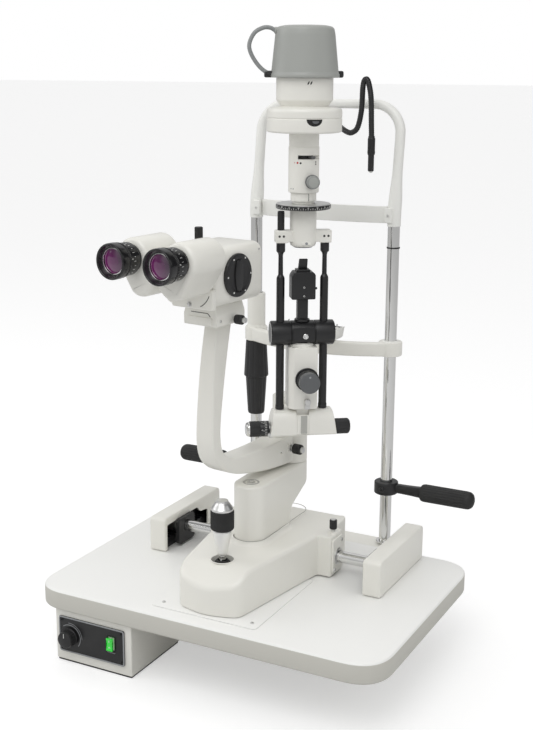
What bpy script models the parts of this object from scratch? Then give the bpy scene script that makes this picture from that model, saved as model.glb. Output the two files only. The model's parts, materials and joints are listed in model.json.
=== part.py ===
"""Table-top slit lamp: a board with rails and head rest, a joystick base with its lifting column, a binocular
microscope arm and an illumination tower. Metres, +Z up, X across the operator, the operator sits at -Y.
The origin is the middle of the board's underside, where a lifting table carries it."""

import math

import bmesh
import bpy

GAP = 0.0003  # clearance left between touching pieces
SIDES = 24  # faces around a round piece

# Board; every height below is measured from its top face
BOARD_WIDTH, BOARD_DEPTH, BOARD_THICKNESS = 0.510, 0.350, 0.028
BOARD_CORNER = 0.040

# Power box under the left front corner
BOX_LOW, BOX_HIGH = (-0.222, -0.168, -0.105), (-0.099, -0.048, -0.0283)
BOX_WALL = 0.003
BRIGHTNESS_KNOB = (-0.1975, -0.066)
ROCKER = (-0.130, -0.060)

# Rails, axle and their covers
COVER_INNER, COVER_OUTER = 0.155, 0.1815
COVER_FRONT, COVER_REAR, COVER_HEIGHT = 0.006, 0.166, 0.051
AXLE_Y, AXLE_Z, AXLE_RADIUS, WHEEL_RADIUS = 0.055, 0.027, 0.0082, 0.0117

# Joystick base
BASE_FOOT, BASE_TOP, BASE_WALL = 0.002, 0.060, 0.006
JOYSTICK_Y, JOYSTICK_PIVOT = -0.0975, 0.048
WELL_RADIUS = 0.015
LOCK_KNOB = (0.0895, 0.055)

# Column and the common swing axis of both arms
SWING_Y = 0.097
COLUMN_RADIUS, COLUMN_FRONT_Y, COLUMN_TOP = 0.023, -0.0187, 0.142
HUB_RADIUS = 0.0248
SHAFT_RADIUS = 0.014  # elevating shaft and swing spindle
MICROSCOPE_HUB_TOP, TOWER_HUB_TOP = 0.1868, 0.236

# Microscope, in a frame turned about the swing axis
MICROSCOPE_SWING = math.radians(-7)
OPTICAL_HEIGHT = 0.440
BODY_HALF, BODY_FRONT, BODY_REAR = 0.040, -0.126, -0.228
BODY_LOW, BODY_HIGH = 0.400, 0.473
DRUM_Y, DRUM_RADIUS = -0.183, 0.0272
PRISM_AXIS_X, EYEPIECE_X, EYEPIECE_HEIGHT = 0.024, 0.0355, 0.465
PRISM_REAR = -0.299

# Illumination tower, in a frame turned about the swing axis
TOWER_SWING = math.radians(36)
TOWER_Y = -0.088
TILT_HEIGHT = 0.215  # axis of the slit width control and of the tower's tilt
HOUSING_RADIUS = 0.027
ROD_X, ROD_RADIUS, ROD_TOP = 0.029, 0.0054, 0.4657
CROSS_HEIGHT, CROSS_RADIUS = 0.346, 0.0165

# Head rest
POST_X, POST_Y, POST_RADIUS = 0.109, 0.199, 0.0085
POST_LOW, POST_TOP = -0.050, 0.4712
CHIN_LOW, CHIN_HIGH = 0.286, 0.306
HANDLE_HEIGHT = 0.086
FIXATION_X = 0.004

TURNS = {
    "Z": (0, 0, 0),
    "X": (0, math.pi / 2, 0),
    "-X": (0, -math.pi / 2, 0),
    "Y": (-math.pi / 2, 0, 0),
    "-Y": (math.pi / 2, 0, 0),
}


# ---------------------------------------------------------------- tools

def finish(name, colour, roughness, metallic=0.0):
    """A Principled material."""
    made = bpy.data.materials.new(name)
    made.use_nodes = True
    shader = made.node_tree.nodes["Principled BSDF"]
    shader.inputs["Base Color"].default_value = (*colour, 1)
    shader.inputs["Roughness"].default_value = roughness
    shader.inputs["Metallic"].default_value = metallic
    return made


def pivot(name, parent=None, at=(0, 0, 0), turn=0.0):
    """An empty that carries a moving group on its axis, turned about +Z."""
    empty = bpy.data.objects.new(name, None)
    bpy.context.collection.objects.link(empty)
    empty.parent = parent
    empty.location = at
    empty.rotation_euler = (0, 0, turn)
    return empty


def place(name, mesh, parent, at, axis, material):
    """Links a mesh as an object with its finish."""
    thing = bpy.data.objects.new(name, mesh)
    bpy.context.collection.objects.link(thing)
    thing.parent = parent
    thing.location = at
    thing.rotation_euler = TURNS[axis]
    if material:
        mesh.materials.append(material)
    else:
        thing.hide_render = True
        thing.display_type = "WIRE"
    return thing


def closed_mesh(name, bm, smooth=False):
    """Turns a bmesh into a mesh whose faces all point outwards."""
    bmesh.ops.recalc_face_normals(bm, faces=bm.faces)
    mesh = bpy.data.meshes.new(name)
    bm.to_mesh(mesh)
    bm.free()
    if smooth:
        mesh.shade_smooth()
        mesh.set_sharp_from_angle(angle=math.radians(35))
    return mesh


def loft(bm, rings):
    """Skins a list of point rings that have the same count, and caps both ends."""
    made = [[bm.verts.new(point) for point in ring] for ring in rings]
    count = len(made[0])
    for low, high in zip(made, made[1:]):
        for i in range(count):
            j = (i + 1) % count
            bm.faces.new((low[i], low[j], high[j], high[i]))
    bm.faces.new(made[0][::-1])
    bm.faces.new(made[-1])


def circle(radius, count=SIDES, centre=(0, 0)):
    """Points around a circle."""
    turn = [2 * math.pi * i / count for i in range(count)]
    return [(centre[0] + radius * math.cos(a), centre[1] + radius * math.sin(a)) for a in turn]


def arc(centre, radius, start, end, steps):
    """Points along an arc, both ends included; angles in degrees."""
    angles = [math.radians(start + (end - start) * i / steps) for i in range(steps + 1)]
    return [(centre[0] + radius * math.cos(a), centre[1] + radius * math.sin(a)) for a in angles]


def rounded_box(low, high, radius, steps=4):
    """Outline of a rectangle with round corners."""
    left, bottom, right, top = low[0] + radius, low[1] + radius, high[0] - radius, high[1] - radius
    corners = (((right, top), 0), ((left, top), 90), ((left, bottom), 180), ((right, bottom), 270))
    return [point for centre, start in corners for point in arc(centre, radius, start, start + 90, steps)]


def turned(name, profile, material=None, parent=None, at=(0, 0, 0), axis="Z", sides=SIDES):
    """A solid of revolution from (radius, height) pairs, first end to last, about the given axis."""
    bm = bmesh.new()
    loft(bm, [[(x, y, height) for x, y in circle(radius, sides)] for radius, height in profile])
    return place(name, closed_mesh(name, bm, True), parent, at, axis, material)


def prism(name, outline, low, high, material=None, parent=None, along="Z", at=(0, 0, 0)):
    """An outline pushed along an axis: X takes (y, z) points, Y takes (x, z), Z takes (x, y)."""
    spots = {
        "X": lambda a, b, t: (t, a, b),
        "Y": lambda a, b, t: (a, t, b),
        "Z": lambda a, b, t: (a, b, t),
    }
    spot = spots[along]
    bm = bmesh.new()
    loft(bm, [[spot(a, b, t) for a, b in outline] for t in (low, high)])
    return place(name, closed_mesh(name, bm), parent, at, "Z", material)


def block(name, low, high, material=None, parent=None):
    """A box between two corners."""
    outline = [(low[0], low[1]), (high[0], low[1]), (high[0], high[1]), (low[0], high[1])]
    return prism(name, outline, low[2], high[2], material, parent)


def shape(thing, operation, *others):
    """Adds Boolean modifiers: UNION or DIFFERENCE with each of the other objects."""
    for other in others:
        step = thing.modifiers.new(other.name, "BOOLEAN")
        step.operation = operation
        step.object = other
    return thing


def bevel(thing, width, segments=2, angle=40):
    """Rounds the edges that are sharper than the angle."""
    step = thing.modifiers.new("Rounding", "BEVEL")
    step.width = width
    step.segments = segments
    step.limit_method = "ANGLE"
    step.angle_limit = math.radians(angle)
    return thing


def cable(name, points, radius, material, parent, sides=2):
    """A round bar or lead through smooth points, as a curve with filled caps."""
    curve = bpy.data.curves.new(name, "CURVE")
    curve.dimensions = "3D"
    curve.bevel_depth = radius
    curve.bevel_resolution = sides
    curve.use_fill_caps = True
    line = curve.splines.new("POLY")
    line.points.add(len(points) - 1)
    for spot, point in zip(line.points, points):
        spot.co = (*point, 1)
    curve.materials.append(material)
    thing = bpy.data.objects.new(name, curve)
    bpy.context.collection.objects.link(thing)
    thing.parent = parent
    return thing


def smooth_path(points, steps):
    """Catmull-Rom curve through the points, with a number of steps between each pair."""
    ends = [points[0], *points, points[-1]]
    path = []
    for a, b, c, d in zip(ends, ends[1:], ends[2:], ends[3:]):
        for i in range(steps):
            t = i / steps
            path.append(tuple(
                0.5 * (2 * q + (r - p) * t + (2 * p - 5 * q + 4 * r - s) * t * t + (3 * q - p - 3 * r + s) * t ** 3)
                for p, q, r, s in zip(a, b, c, d)
            ))
    return path + [points[-1]]


# ---------------------------------------------------------------- board and power box

def make_board(deck, white):
    outline = rounded_box((-BOARD_WIDTH / 2, -BOARD_DEPTH / 2), (BOARD_WIDTH / 2, BOARD_DEPTH / 2), BOARD_CORNER, 6)
    board = prism("table_top", outline, -BOARD_THICKNESS, 0, white, deck)
    bevel(board, 0.004, 2)


def make_power_box(deck, white, black, green, metal):
    (left, front, low), (right, rear, high) = BOX_LOW, BOX_HIGH
    case = block("power_box", BOX_LOW, BOX_HIGH, white, deck)
    hollow = block(
        "power_box_hollow",
        (left + BOX_WALL, front + BOX_WALL, low + BOX_WALL),
        (right - BOX_WALL, rear - BOX_WALL, high + 0.01),
        parent=deck,
    )
    shape(case, "DIFFERENCE", hollow)
    middle = ((left + right) / 2, (front + rear) / 2)
    transformer = block(
        "transformer",
        (middle[0] - 0.032, middle[1] - 0.026, low + BOX_WALL + GAP),
        (middle[0] + 0.032, middle[1] + 0.026, high - 0.014),
        metal, deck,
    )
    bevel(transformer, 0.003, 1)
    face = front - GAP
    panel_outline = rounded_box((left + 0.007, low + 0.016), (right - 0.010, high - 0.0095), 0.003, 2)
    panel = prism("power_panel", panel_outline, face - 0.0025, face, black, deck, "Y")
    knob_x, knob_z = BRIGHTNESS_KNOB
    profile = [(0.013, 0), (0.0122, 0.009), (0.011, 0.0125), (0.0085, 0.0135)]
    turned("brightness_knob", profile, black, deck, (knob_x, face - 0.0025 - GAP, knob_z), "-Y", 24)
    rocker_x, rocker_z = ROCKER
    window = block("switch_window", (rocker_x - 0.0056, face - 0.01, rocker_z - 0.0098),
                   (rocker_x + 0.0056, face + 0.01, rocker_z + 0.0098), parent=deck)
    shape(panel, "DIFFERENCE", window)
    outline = [(-0.0008, -0.009), (-0.0036, -0.008), (-0.0022, 0), (-0.0036, 0.008), (-0.0008, 0.009)]
    prism("power_switch", outline, -0.005, 0.005, green, deck, "X", (rocker_x, face - 0.0025, rocker_z))


# ---------------------------------------------------------------- rails and axle

def make_rail(deck, side, white, black):
    """A cover open on its inner side, with the toothed rack inside it; side is -1 or 1."""
    word = "left" if side < 0 else "right"
    roof = 0.007
    outline = [
        (COVER_FRONT, GAP),
        *arc((COVER_FRONT + roof, COVER_HEIGHT - roof), roof, 180, 90, 4),
        *arc((COVER_REAR - roof, COVER_HEIGHT - roof), roof, 90, 0, 4),
        (COVER_REAR, GAP),
    ]
    cover = prism(f"rail_cover_{word}", outline, side * COVER_INNER, side * COVER_OUTER, white, deck, "X")
    cavity = block(
        f"rail_cavity_{word}",
        (min(side * 0.1572, side * 0.1775), COVER_FRONT + 0.006, -0.01),
        (max(side * 0.1572, side * 0.1775), COVER_REAR - 0.006, COVER_HEIGHT - 0.006),
        parent=deck,
    )
    mouth_outline = [
        (COVER_FRONT + 0.006, -0.01),
        (COVER_FRONT + 0.006, 0.040),
        (0.088, 0.040),
        *arc((0.088, 0.028), 0.012, 90, 18, 3),
        (0.128, 0.030),
        (0.128, -0.01),
    ]
    mouth = prism(f"rail_mouth_{word}", mouth_outline, side * 0.150, side * 0.160, parent=deck, along="X")
    shape(cover, "DIFFERENCE", cavity, mouth)
    teeth = 17
    pitch = 0.146 / teeth
    start = COVER_FRONT + 0.007
    rack_outline = [(start, GAP)]
    for i in range(teeth):
        near = start + i * pitch
        rack_outline += [(near, 0.0132), (near + 0.35 * pitch, 0.0149), (near + 0.65 * pitch, 0.0149)]
    rack_outline += [(start + teeth * pitch, 0.0132), (start + teeth * pitch, GAP)]
    prism(f"rack_{word}", rack_outline, side * 0.1625, side * 0.1745, black, deck, "X")


def make_axle(axle, carriage, chrome, black):
    """The axle with its two wheels, and the bearing shields that slide along the covers."""
    end, flange = 0.1745, 0.1615
    profile = [
        (WHEEL_RADIUS, -end), (WHEEL_RADIUS, -flange), (0.0138, -flange), (0.0138, -flange + 0.0025),
        (AXLE_RADIUS, -flange + 0.0025), (AXLE_RADIUS, flange - 0.0025),
        (0.0138, flange - 0.0025), (0.0138, flange), (WHEEL_RADIUS, flange), (WHEEL_RADIUS, end),
    ]
    turned("axle", profile, chrome, axle, axis="X")
    for side, word in ((-1, "left"), (1, "right")):
        outline = rounded_box((-0.022, 0.003 - AXLE_Z), (0.022, 0.042 - AXLE_Z), 0.006, 3)
        shield = prism(f"axle_shield_{word}", outline, side * 0.1478, side * 0.1535, black, carriage, "X")
        bore = turned(f"shield_bore_{word}", [(0.00885, -0.01), (0.00885, 0.01)], None, carriage,
                      (side * 0.1505, 0, 0), "X", 20)
        shape(shield, "DIFFERENCE", bore)


# ---------------------------------------------------------------- joystick base

def base_outline(inset):
    """Half outlines mirrored: a narrow rounded nose, straight flanks and a wide rear axle housing."""
    half = [
        *[(x, -0.147 + 0.009 * (x / 0.034) ** 2 + inset) for x in (0.0, 0.017, 0.034)],
        *arc((0.036 - inset, -0.128 + inset), 0.010, -45, -10, 2),
        (0.0735 - inset, 0.030),
        (0.0755 - inset, 0.036 + inset),
        (0.095 - inset, 0.036 + inset),
        (0.095 - inset, 0.074 - inset),
        (0.083 - inset, 0.078 - inset),
        (0.081 - inset, 0.117 - inset),
        (0.076 - inset, 0.124 - inset),
    ]
    return half[::-1] + [(-x, y) for x, y in half[1:]]


def base_solid(name, inset, low, high, material, parent):
    """The base outline pushed up, less the wedge above the sloping deck of its nose."""
    solid = prism(name, base_outline(inset), low, high, material, parent)
    crest, slope = -0.118, 0.75
    wedge = [(crest, high), (crest, high + 0.02), (-0.2, high + 0.02), (-0.2, high + (-0.2 - crest) * slope)]
    return shape(solid, "DIFFERENCE", prism(f"{name}_nose", wedge, -0.12, 0.12, parent=parent, along="X"))


def make_base(base, white, black):
    housing = base_solid("base_housing", 0.0, BASE_FOOT, BASE_TOP, white, base)
    bevel(housing, 0.004, 2, 50)
    hollow = base_solid("base_hollow", BASE_WALL, -0.01, BASE_TOP - BASE_WALL, None, base)
    profile = [(WELL_RADIUS, 0.03), (WELL_RADIUS, 0.08)]
    well = turned("joystick_well", profile, None, base, (0, JOYSTICK_Y, 0), sides=24)
    bore = turned("axle_bore", [(0.0088, -0.12), (0.0088, 0.12)], None, base, (0, AXLE_Y, AXLE_Z), "X", 20)
    shape(housing, "DIFFERENCE", hollow, well, bore)
    lock = [(0.0028, 0), (0.0028, 0.005), (0.0050, 0.0055), (0.0052, 0.0185), (0.0040, 0.0200)]
    turned("base_lock_knob", lock, black, base, (*LOCK_KNOB, BASE_TOP + GAP), sides=16)


def make_joystick(stick, white, chrome):
    """Gimbal ring, lever with its ball foot, and the turning grip on top; heights are above the tilt pivot."""
    gimbal = turned("joystick_gimbal", [(0.0100, -0.0025), (0.0100, 0.0025)], chrome, stick, sides=20)
    shape(gimbal, "DIFFERENCE", turned("gimbal_bore", [(0.0061, -0.01), (0.0061, 0.01)], None, stick, sides=20))
    foot = 0.0085
    ball = [(foot * math.cos(math.radians(a)), foot - JOYSTICK_PIVOT + foot * math.sin(math.radians(a)))
            for a in (-75, -50, -25, 0, 25, 45)]
    lever = [*ball, (0.005, ball[-1][1] + 0.004), (0.005, 0.010), (0.0065, 0.018), (0.0125, 0.052), (0.0125, 0.0538)]
    turned("joystick_lever", lever, white, stick, sides=20)
    base = 0.0541
    grip = [(0.0145, base), (0.0155, base + 0.002), (0.0155, base + 0.024), (0.0145, base + 0.026),
            (0.0125, base + 0.032), (0.0085, base + 0.0365), (0.004, base + 0.038)]
    turned("joystick_grip", grip, chrome, stick)


# ---------------------------------------------------------------- column

def make_column(base, lift, white, chrome):
    """The elevating shaft stands on the base inside a slab that slides up it and reaches back to the swing spindle."""
    profile = [(SHAFT_RADIUS, BASE_TOP + GAP), (SHAFT_RADIUS, 0.126), (SHAFT_RADIUS - 0.002, 0.128)]
    turned("elevating_shaft", profile, chrome, base, (0, COLUMN_FRONT_Y, 0))
    outline = [
        *arc((0, SWING_Y), HUB_RADIUS, 0, 180, 12),
        *arc((0, COLUMN_FRONT_Y), COLUMN_RADIUS, 180, 360, 12),
    ]
    column = prism("column", outline, BASE_TOP + 0.001, COLUMN_TOP, white, lift)
    slope = [(0.052, 0.04), (0.052, 0.086), (0.126, 0.1215), (0.140, 0.04)]
    slope_cut = prism("column_slope", slope, -0.04, 0.04, parent=lift, along="X")
    running = SHAFT_RADIUS + GAP
    shaft_bore = turned("shaft_bore", [(running, 0.04), (running, 0.130)], None, lift, (0, COLUMN_FRONT_Y, 0))
    spindle_bore = turned("spindle_bore", [(running, 0.122), (running, 0.16)], None, lift, (0, SWING_Y, 0))
    shape(column, "DIFFERENCE", slope_cut, shaft_bore, spindle_bore)
    turned("swing_spindle", [(SHAFT_RADIUS, 0.1225), (SHAFT_RADIUS, TOWER_HUB_TOP)], chrome, lift, (0, SWING_Y, 0))


# ---------------------------------------------------------------- microscope

def arm_station(outer, inner, half):
    """Four corners of the arm's section: (y, z) of its outer edge and of its inner edge, and its half width."""
    return [(-half, *outer), (half, *outer), (half, *inner), (-half, *inner)]


def make_microscope_arm(swing, white, black):
    """A bowed arm: it runs forward from the swing axis, turns up in a tight bend and narrows to its top."""
    stations = [
        ((-0.004, 0.1445), (-0.004, 0.1864), 0.0170),
        ((-0.040, 0.1458), (-0.040, 0.1850), 0.0168),
        ((-0.080, 0.1492), (-0.080, 0.1835), 0.0162),
        ((-0.115, 0.1550), (-0.118, 0.1838), 0.0155),
        ((-0.150, 0.1635), (-0.150, 0.1862), 0.0150),
        ((-0.176, 0.1755), (-0.168, 0.1925), 0.0146),
        ((-0.192, 0.1910), (-0.178, 0.2040), 0.0143),
        ((-0.1985, 0.2120), (-0.1815, 0.2200), 0.0141),
        ((-0.199, 0.2400), (-0.1805, 0.2430), 0.0137),
        ((-0.196, 0.2850), (-0.172, 0.2900), 0.0126),
        ((-0.191, 0.3300), (-0.162, 0.3340), 0.0113),
        ((-0.184, 0.3717), (-0.152, 0.3717), 0.0100),
    ]
    bm = bmesh.new()
    loft(bm, [arm_station(*station) for station in stations])
    arm = place("microscope_arm", closed_mesh("microscope_arm", bm), swing, (0, 0, 0), "Z", white)
    bevel(arm, 0.0035, 2)
    hub = turned("microscope_hub", [(HUB_RADIUS, COLUMN_TOP + 0.0006), (HUB_RADIUS, MICROSCOPE_HUB_TOP)], None, swing)
    running = SHAFT_RADIUS + GAP
    bore = turned("microscope_hub_bore", [(running, 0.10), (running, 0.24)], None, swing)
    shape(arm, "UNION", hub)
    shape(arm, "DIFFERENCE", bore)
    knob = [(0.0035, 0), (0.0035, 0.006), (0.0068, 0.0065), (0.0072, 0.018), (0.0060, 0.0195), (0.0050, 0.0225)]
    turned("arm_lock_knob", knob, black, swing, (0.0170 + GAP, -0.025, 0.1680), "X", 16)


def make_microscope_body(swing, white, black):
    mount_half = 0.026
    outline = [
        (-mount_half, 0.3720), (mount_half, 0.3720), (mount_half, 0.3860), (0.0215, 0.3990),
        (-0.0215, 0.3990), (-mount_half, 0.3860),
    ]
    prism("microscope_mount", outline, -0.206, -0.146, white, swing, "Y")
    knob = [(0.003, 0), (0.003, 0.008), (0.0058, 0.0085), (0.0062, 0.018), (0.0050, 0.020), (0.0035, 0.024)]
    turned("mount_clamp_knob", knob, black, swing, (mount_half + GAP, -0.172, 0.3785), "X", 16)

    outline = rounded_box((-BODY_HALF, BODY_LOW), (BODY_HALF, BODY_HIGH), 0.012, 3)
    body = prism("microscope_body", outline, BODY_REAR, BODY_FRONT, white, swing, "Y")
    chin = [(-0.150, 0.39), (-0.120, 0.39), (-0.120, 0.424)]
    chin_cut = prism("body_chin", chin, -0.06, 0.06, parent=swing, along="X")
    objective = turned("objective_bore", [(0.021, 0), (0.021, 0.02)], None, swing,
                       (0, BODY_FRONT - 0.010, OPTICAL_HEIGHT), "Y")
    spot = (0, DRUM_Y, OPTICAL_HEIGHT - 0.003)
    shaft = turned("drum_bore", [(0.0063, -0.06), (0.0063, 0.06)], None, swing, spot, "X", 20)
    shape(body, "DIFFERENCE", chin_cut, objective, shaft)
    inner, outer = BODY_HALF + GAP, BODY_HALF + 0.009
    profile = [
        (DRUM_RADIUS - 0.002, -outer), (DRUM_RADIUS, -outer + 0.002), (DRUM_RADIUS, -inner), (0.006, -inner),
        (0.006, inner), (DRUM_RADIUS, inner), (DRUM_RADIUS, outer - 0.002), (DRUM_RADIUS - 0.002, outer),
    ]
    turned("magnification_drum", profile, black, pivot("drum_axis", swing, spot), axis="X")


def make_eyepieces(swing, white, black):
    """Each prism housing turns about its own optical channel, and carries an eyepiece that turns to focus."""
    for side, word in ((-1, "left"), (1, "right")):
        hinge = pivot(f"prism_axis_{word}", swing, (side * PRISM_AXIS_X, 0, OPTICAL_HEIGHT))
        across = side * (EYEPIECE_X - PRISM_AXIS_X)
        up = EYEPIECE_HEIGHT - OPTICAL_HEIGHT
        lean = math.degrees(math.atan2(-across, up))
        big, small = 0.0243, 0.0150
        outline = [
            *arc((across, up), big, lean - 15, lean + 195, 16),
            *arc((0, 0), small, lean + 200, lean + 340, 8),
        ]
        housing = prism(f"prism_housing_{word}", outline, PRISM_REAR, BODY_REAR - GAP, white, hinge, "Y")
        bevel(housing, 0.0025, 1, 60)
        profile = [
            (0.0170, 0), (0.0170, 0.006), (0.0200, 0.0065), (0.0200, 0.015), (0.0192, 0.016), (0.0218, 0.018),
            (0.0218, 0.030), (0.0205, 0.032), (0.0165, 0.032), (0.0150, 0.026),
        ]
        turned(f"eyepiece_{word}", profile, black, hinge, (across, PRISM_REAR - GAP, up), "-Y")


# ---------------------------------------------------------------- illumination tower

def make_illumination_arm(swing, white):
    """Hub, arm and the cross housing whose round top is centred on the tilt axis."""
    hub_low = MICROSCOPE_HUB_TOP + 0.0006
    outline = [
        *arc((TOWER_Y, TILT_HEIGHT), HOUSING_RADIUS, 150, 30, 10),
        (-0.0646, 0.2016),
        (-0.1113, 0.2016),
    ]
    housing = prism("illumination_arm", outline, -0.0460, 0.0460, white, swing, "X")
    hub = turned("tower_hub", [(HUB_RADIUS, hub_low), (HUB_RADIUS, TOWER_HUB_TOP)], None, swing)
    link = block("tower_link", (-0.018, -0.078, 0.2020), (0.018, -0.010, 0.2300), parent=swing)
    running = SHAFT_RADIUS + GAP
    bore = turned("tower_hub_bore", [(running, 0.10), (running, 0.26)], None, swing)
    slot = block("tilt_slot", (-0.0082, -0.130, 0.2030), (0.0082, -0.0740, 0.26), parent=swing)
    shaft_bore = turned("slit_shaft_bore", [(0.0045, -0.06), (0.0045, 0.06)], None, swing,
                        (0, TOWER_Y, TILT_HEIGHT), "X", 16)
    shape(housing, "UNION", link, hub)
    shape(housing, "DIFFERENCE", bore, slot, shaft_bore)


def make_slit_control(axis, black):
    profile = [
        (0.0060, -0.0755), (0.0070, -0.0725), (0.0100, -0.0720), (0.0106, -0.0700), (0.0106, -0.0466), (0.0042, -0.0466),
        (0.0042, 0.0466), (0.0106, 0.0466), (0.0106, 0.0650), (0.0096, 0.0668),
    ]
    turned("slit_width_control", profile, black, axis, axis="X")


def make_tower(tilt, white, black, grey, chrome):
    """Everything above the tilt axis; heights below are measured from that axis, which is the frame's origin."""
    base = TILT_HEIGHT
    outline = [
        (-0.0190, -0.012), (-0.0190, 0.018), (0.0190, 0.018), (0.0190, -0.018), (-0.0130, -0.018),
    ]
    body = prism("tilt_body", outline, 0.245 - base, 0.3290 - base, white, tilt)
    bevel(body, 0.0015, 1, 60)
    tongue_outline = [*arc((0, 0), 0.0110, 180, 360, 8), (0.0110, 0.035), (-0.0110, 0.035)]
    tongue = prism("tilt_tongue", tongue_outline, -0.0078, 0.0078, parent=tilt, along="X")
    bore = turned("tongue_bore", [(0.0045, -0.02), (0.0045, 0.02)], None, tilt, axis="X", sides=16)
    shape(body, "UNION", tongue)
    shape(body, "DIFFERENCE", bore)
    knob = [(0.0050, 0), (0.0050, 0.003), (0.0140, 0.0035), (0.0140, 0.013), (0.0134, 0.0142), (0.0134, 0.0235)]
    turned("centring_knob", knob, grey, tilt, (0.0045, -0.018 - GAP, 0.2860 - base), "-Y", 24)
    latch = [(0.0, 0.0), (-0.0040, 0.0), (-0.0040, 0.0040), (-0.0016, 0.0125), (0.0, 0.0125)]
    prism("tilt_latch", latch, 0.0015, 0.0085, chrome, tilt, "X", (0, -0.018 - GAP, 0.2462 - base))

    for side, word in ((-1, "left"), (1, "right")):
        top = ROD_TOP - base
        profile = [
            (0.0060, 0.2423 - base), (0.0060, 0.2480 - base), (ROD_RADIUS, 0.2485 - base), (ROD_RADIUS, 0.4210 - base),
            (0.0030, 0.4235 - base), (0.0030, 0.4500 - base), (0.0052, 0.4530 - base), (0.0052, top),
        ]
        turned(f"guide_rod_{word}", profile, black, tilt, (side * ROD_X, 0, 0), sides=16)
    cross = turned("cross_cylinder", [(0.0150, -0.0425), (CROSS_RADIUS, -0.0410), (CROSS_RADIUS, 0.0410),
                                      (0.0150, 0.0425)], black, tilt, (0, 0, CROSS_HEIGHT - base), "X")
    holes = [
        turned(f"rod_hole_{side}", [(ROD_RADIUS + GAP, -0.03), (ROD_RADIUS + GAP, 0.03)], None, tilt,
               (side * ROD_X, 0, CROSS_HEIGHT - base), sides=16)
        for side in (-1, 1)
    ]
    shape(cross, "DIFFERENCE", *holes)

    outline = [
        (-0.0060, 0.3628), (0.0060, 0.3628), (0.0060, 0.3905), (0.0120, 0.3905), (0.0120, 0.4280),
        (0.0075, 0.4287), (-0.0135, 0.4565), (-0.0155, 0.4550), (-0.0020, 0.4287), (-0.0120, 0.4280),
        (-0.0120, 0.3905), (-0.0060, 0.3905),
    ]
    holder = prism("mirror_holder", [(y, z - base) for y, z in outline], -0.0160, 0.0160, black, tilt, "X")
    trims = [
        block(f"mirror_trim_{side}", (min(side * 0.0072, side * 0.02), -0.03, 0.36 - base),
              (max(side * 0.0072, side * 0.02), 0.03, 0.3903 - base), parent=tilt)
        for side in (-1, 1)
    ]
    blades = [
        block(f"blade_trim_{side}", (min(side * 0.0058, side * 0.02), -0.03, 0.4290 - base),
              (max(side * 0.0058, side * 0.02), 0.03, 0.47 - base), parent=tilt)
        for side in (-1, 1)
    ]
    shape(holder, "DIFFERENCE", *trims, *blades)


def make_upper_tower(tilt, white, black, grey, chrome):
    """Lens barrel, slit rotation ring, filter barrel, lamp housing and its cap, stacked on one axis."""
    base = TILT_HEIGHT

    def stack(name, profile, material, parent=tilt, **options):
        return turned(name, [(radius, height - base) for radius, height in profile], material, parent, **options)

    barrel = stack("slit_barrel", [(0.0140, 0.4612), (0.0172, 0.4660), (0.0172, 0.5067), (0.0142, 0.5067),
                                   (0.0142, 0.5197)], white)
    low, high = (-0.0365, -0.0085, ROD_TOP + GAP - base), (0.0365, 0.0085, 0.4825 - base)
    bridge = block("barrel_bridge", low, high, parent=tilt)
    shape(barrel, "UNION", bridge)

    ring_axis = pivot("slit_ring_axis", tilt)
    ring = stack("slit_rotation_ring", [(0.0345, 0.5070), (0.0357, 0.5080), (0.0357, 0.5158), (0.0345, 0.5168)],
                 black, ring_axis)
    ring_bore = stack("ring_bore", [(0.0145, 0.50), (0.0145, 0.53)], None, ring_axis)
    shape(ring, "DIFFERENCE", ring_bore)

    upper = stack("filter_barrel", [(0.0166, 0.5200), (0.0166, 0.5305), (0.0197, 0.5310), (0.0197, 0.5885),
                                    (0.0190, 0.5890), (0.0190, 0.6060)], white)
    slot = block("filter_slot", (-0.0080, -0.030, 0.5735 - base), (0.0188, -0.0060, 0.5785 - base), parent=tilt)
    shape(upper, "DIFFERENCE", slot)
    lever_axis = pivot("filter_axis", tilt, (0, 0, 0.5760 - base))
    lever = [(0.0013, 0.0130), (0.0013, 0.0205), (0.0020, 0.0210), (0.0020, 0.0262), (0.0012, 0.0268)]
    direction = pivot("filter_direction", lever_axis, turn=math.radians(20))
    turned("filter_lever", lever, black, direction, axis="-Y", sides=12)
    knob = [(0.0040, 0), (0.0040, 0.0030), (0.0090, 0.0035), (0.0092, 0.0110), (0.0080, 0.0125)]
    turned("aperture_knob", knob, grey, tilt, (0.0045, -0.0197, 0.5455 - base), "-Y", 20)

    stack("lamp_housing", [(0.0455, 0.6063), (0.0480, 0.6085), (0.0480, 0.6240), (0.0472, 0.6245), (0.0480, 0.6250),
                           (0.0480, 0.6345), (0.0455, 0.6365), (0.0362, 0.6420), (0.0360, 0.6735)], white)
    profile = [(0.0435, 0.6738), (0.0432, 0.6780), (0.0375, 0.7270), (0.0345, 0.7345), (0.0280, 0.7372)]
    cap = stack("lamp_cap", profile, grey)
    hollow = stack("cap_hollow", [(0.0400, 0.66), (0.0398, 0.676), (0.0340, 0.7270)], None)
    shape(cap, "DIFFERENCE", hollow)
    stack("lamp_bulb", [(0.0075, 0.6738), (0.0075, 0.6850), (0.0050, 0.6860), (0.0065, 0.6930), (0.0060, 0.7010),
                        (0.0025, 0.7060)], chrome, sides=16)
    route = [(-0.0378, 0, 0.7305), (-0.0440, 0, 0.7338), (-0.0530, 0, 0.7338), (-0.0641, 0, 0.7275), (-0.0705, 0, 0.7140),
             (-0.0680, 0, 0.7020), (-0.0601, 0, 0.6898), (-0.0520, 0, 0.6822), (-0.0440, 0, 0.6780)]
    points = [(x, y, z - base) for x, y, z in smooth_path(route, 3)]
    cable("lamp_cable", points, 0.0026, grey, tilt)


# ---------------------------------------------------------------- head rest

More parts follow.
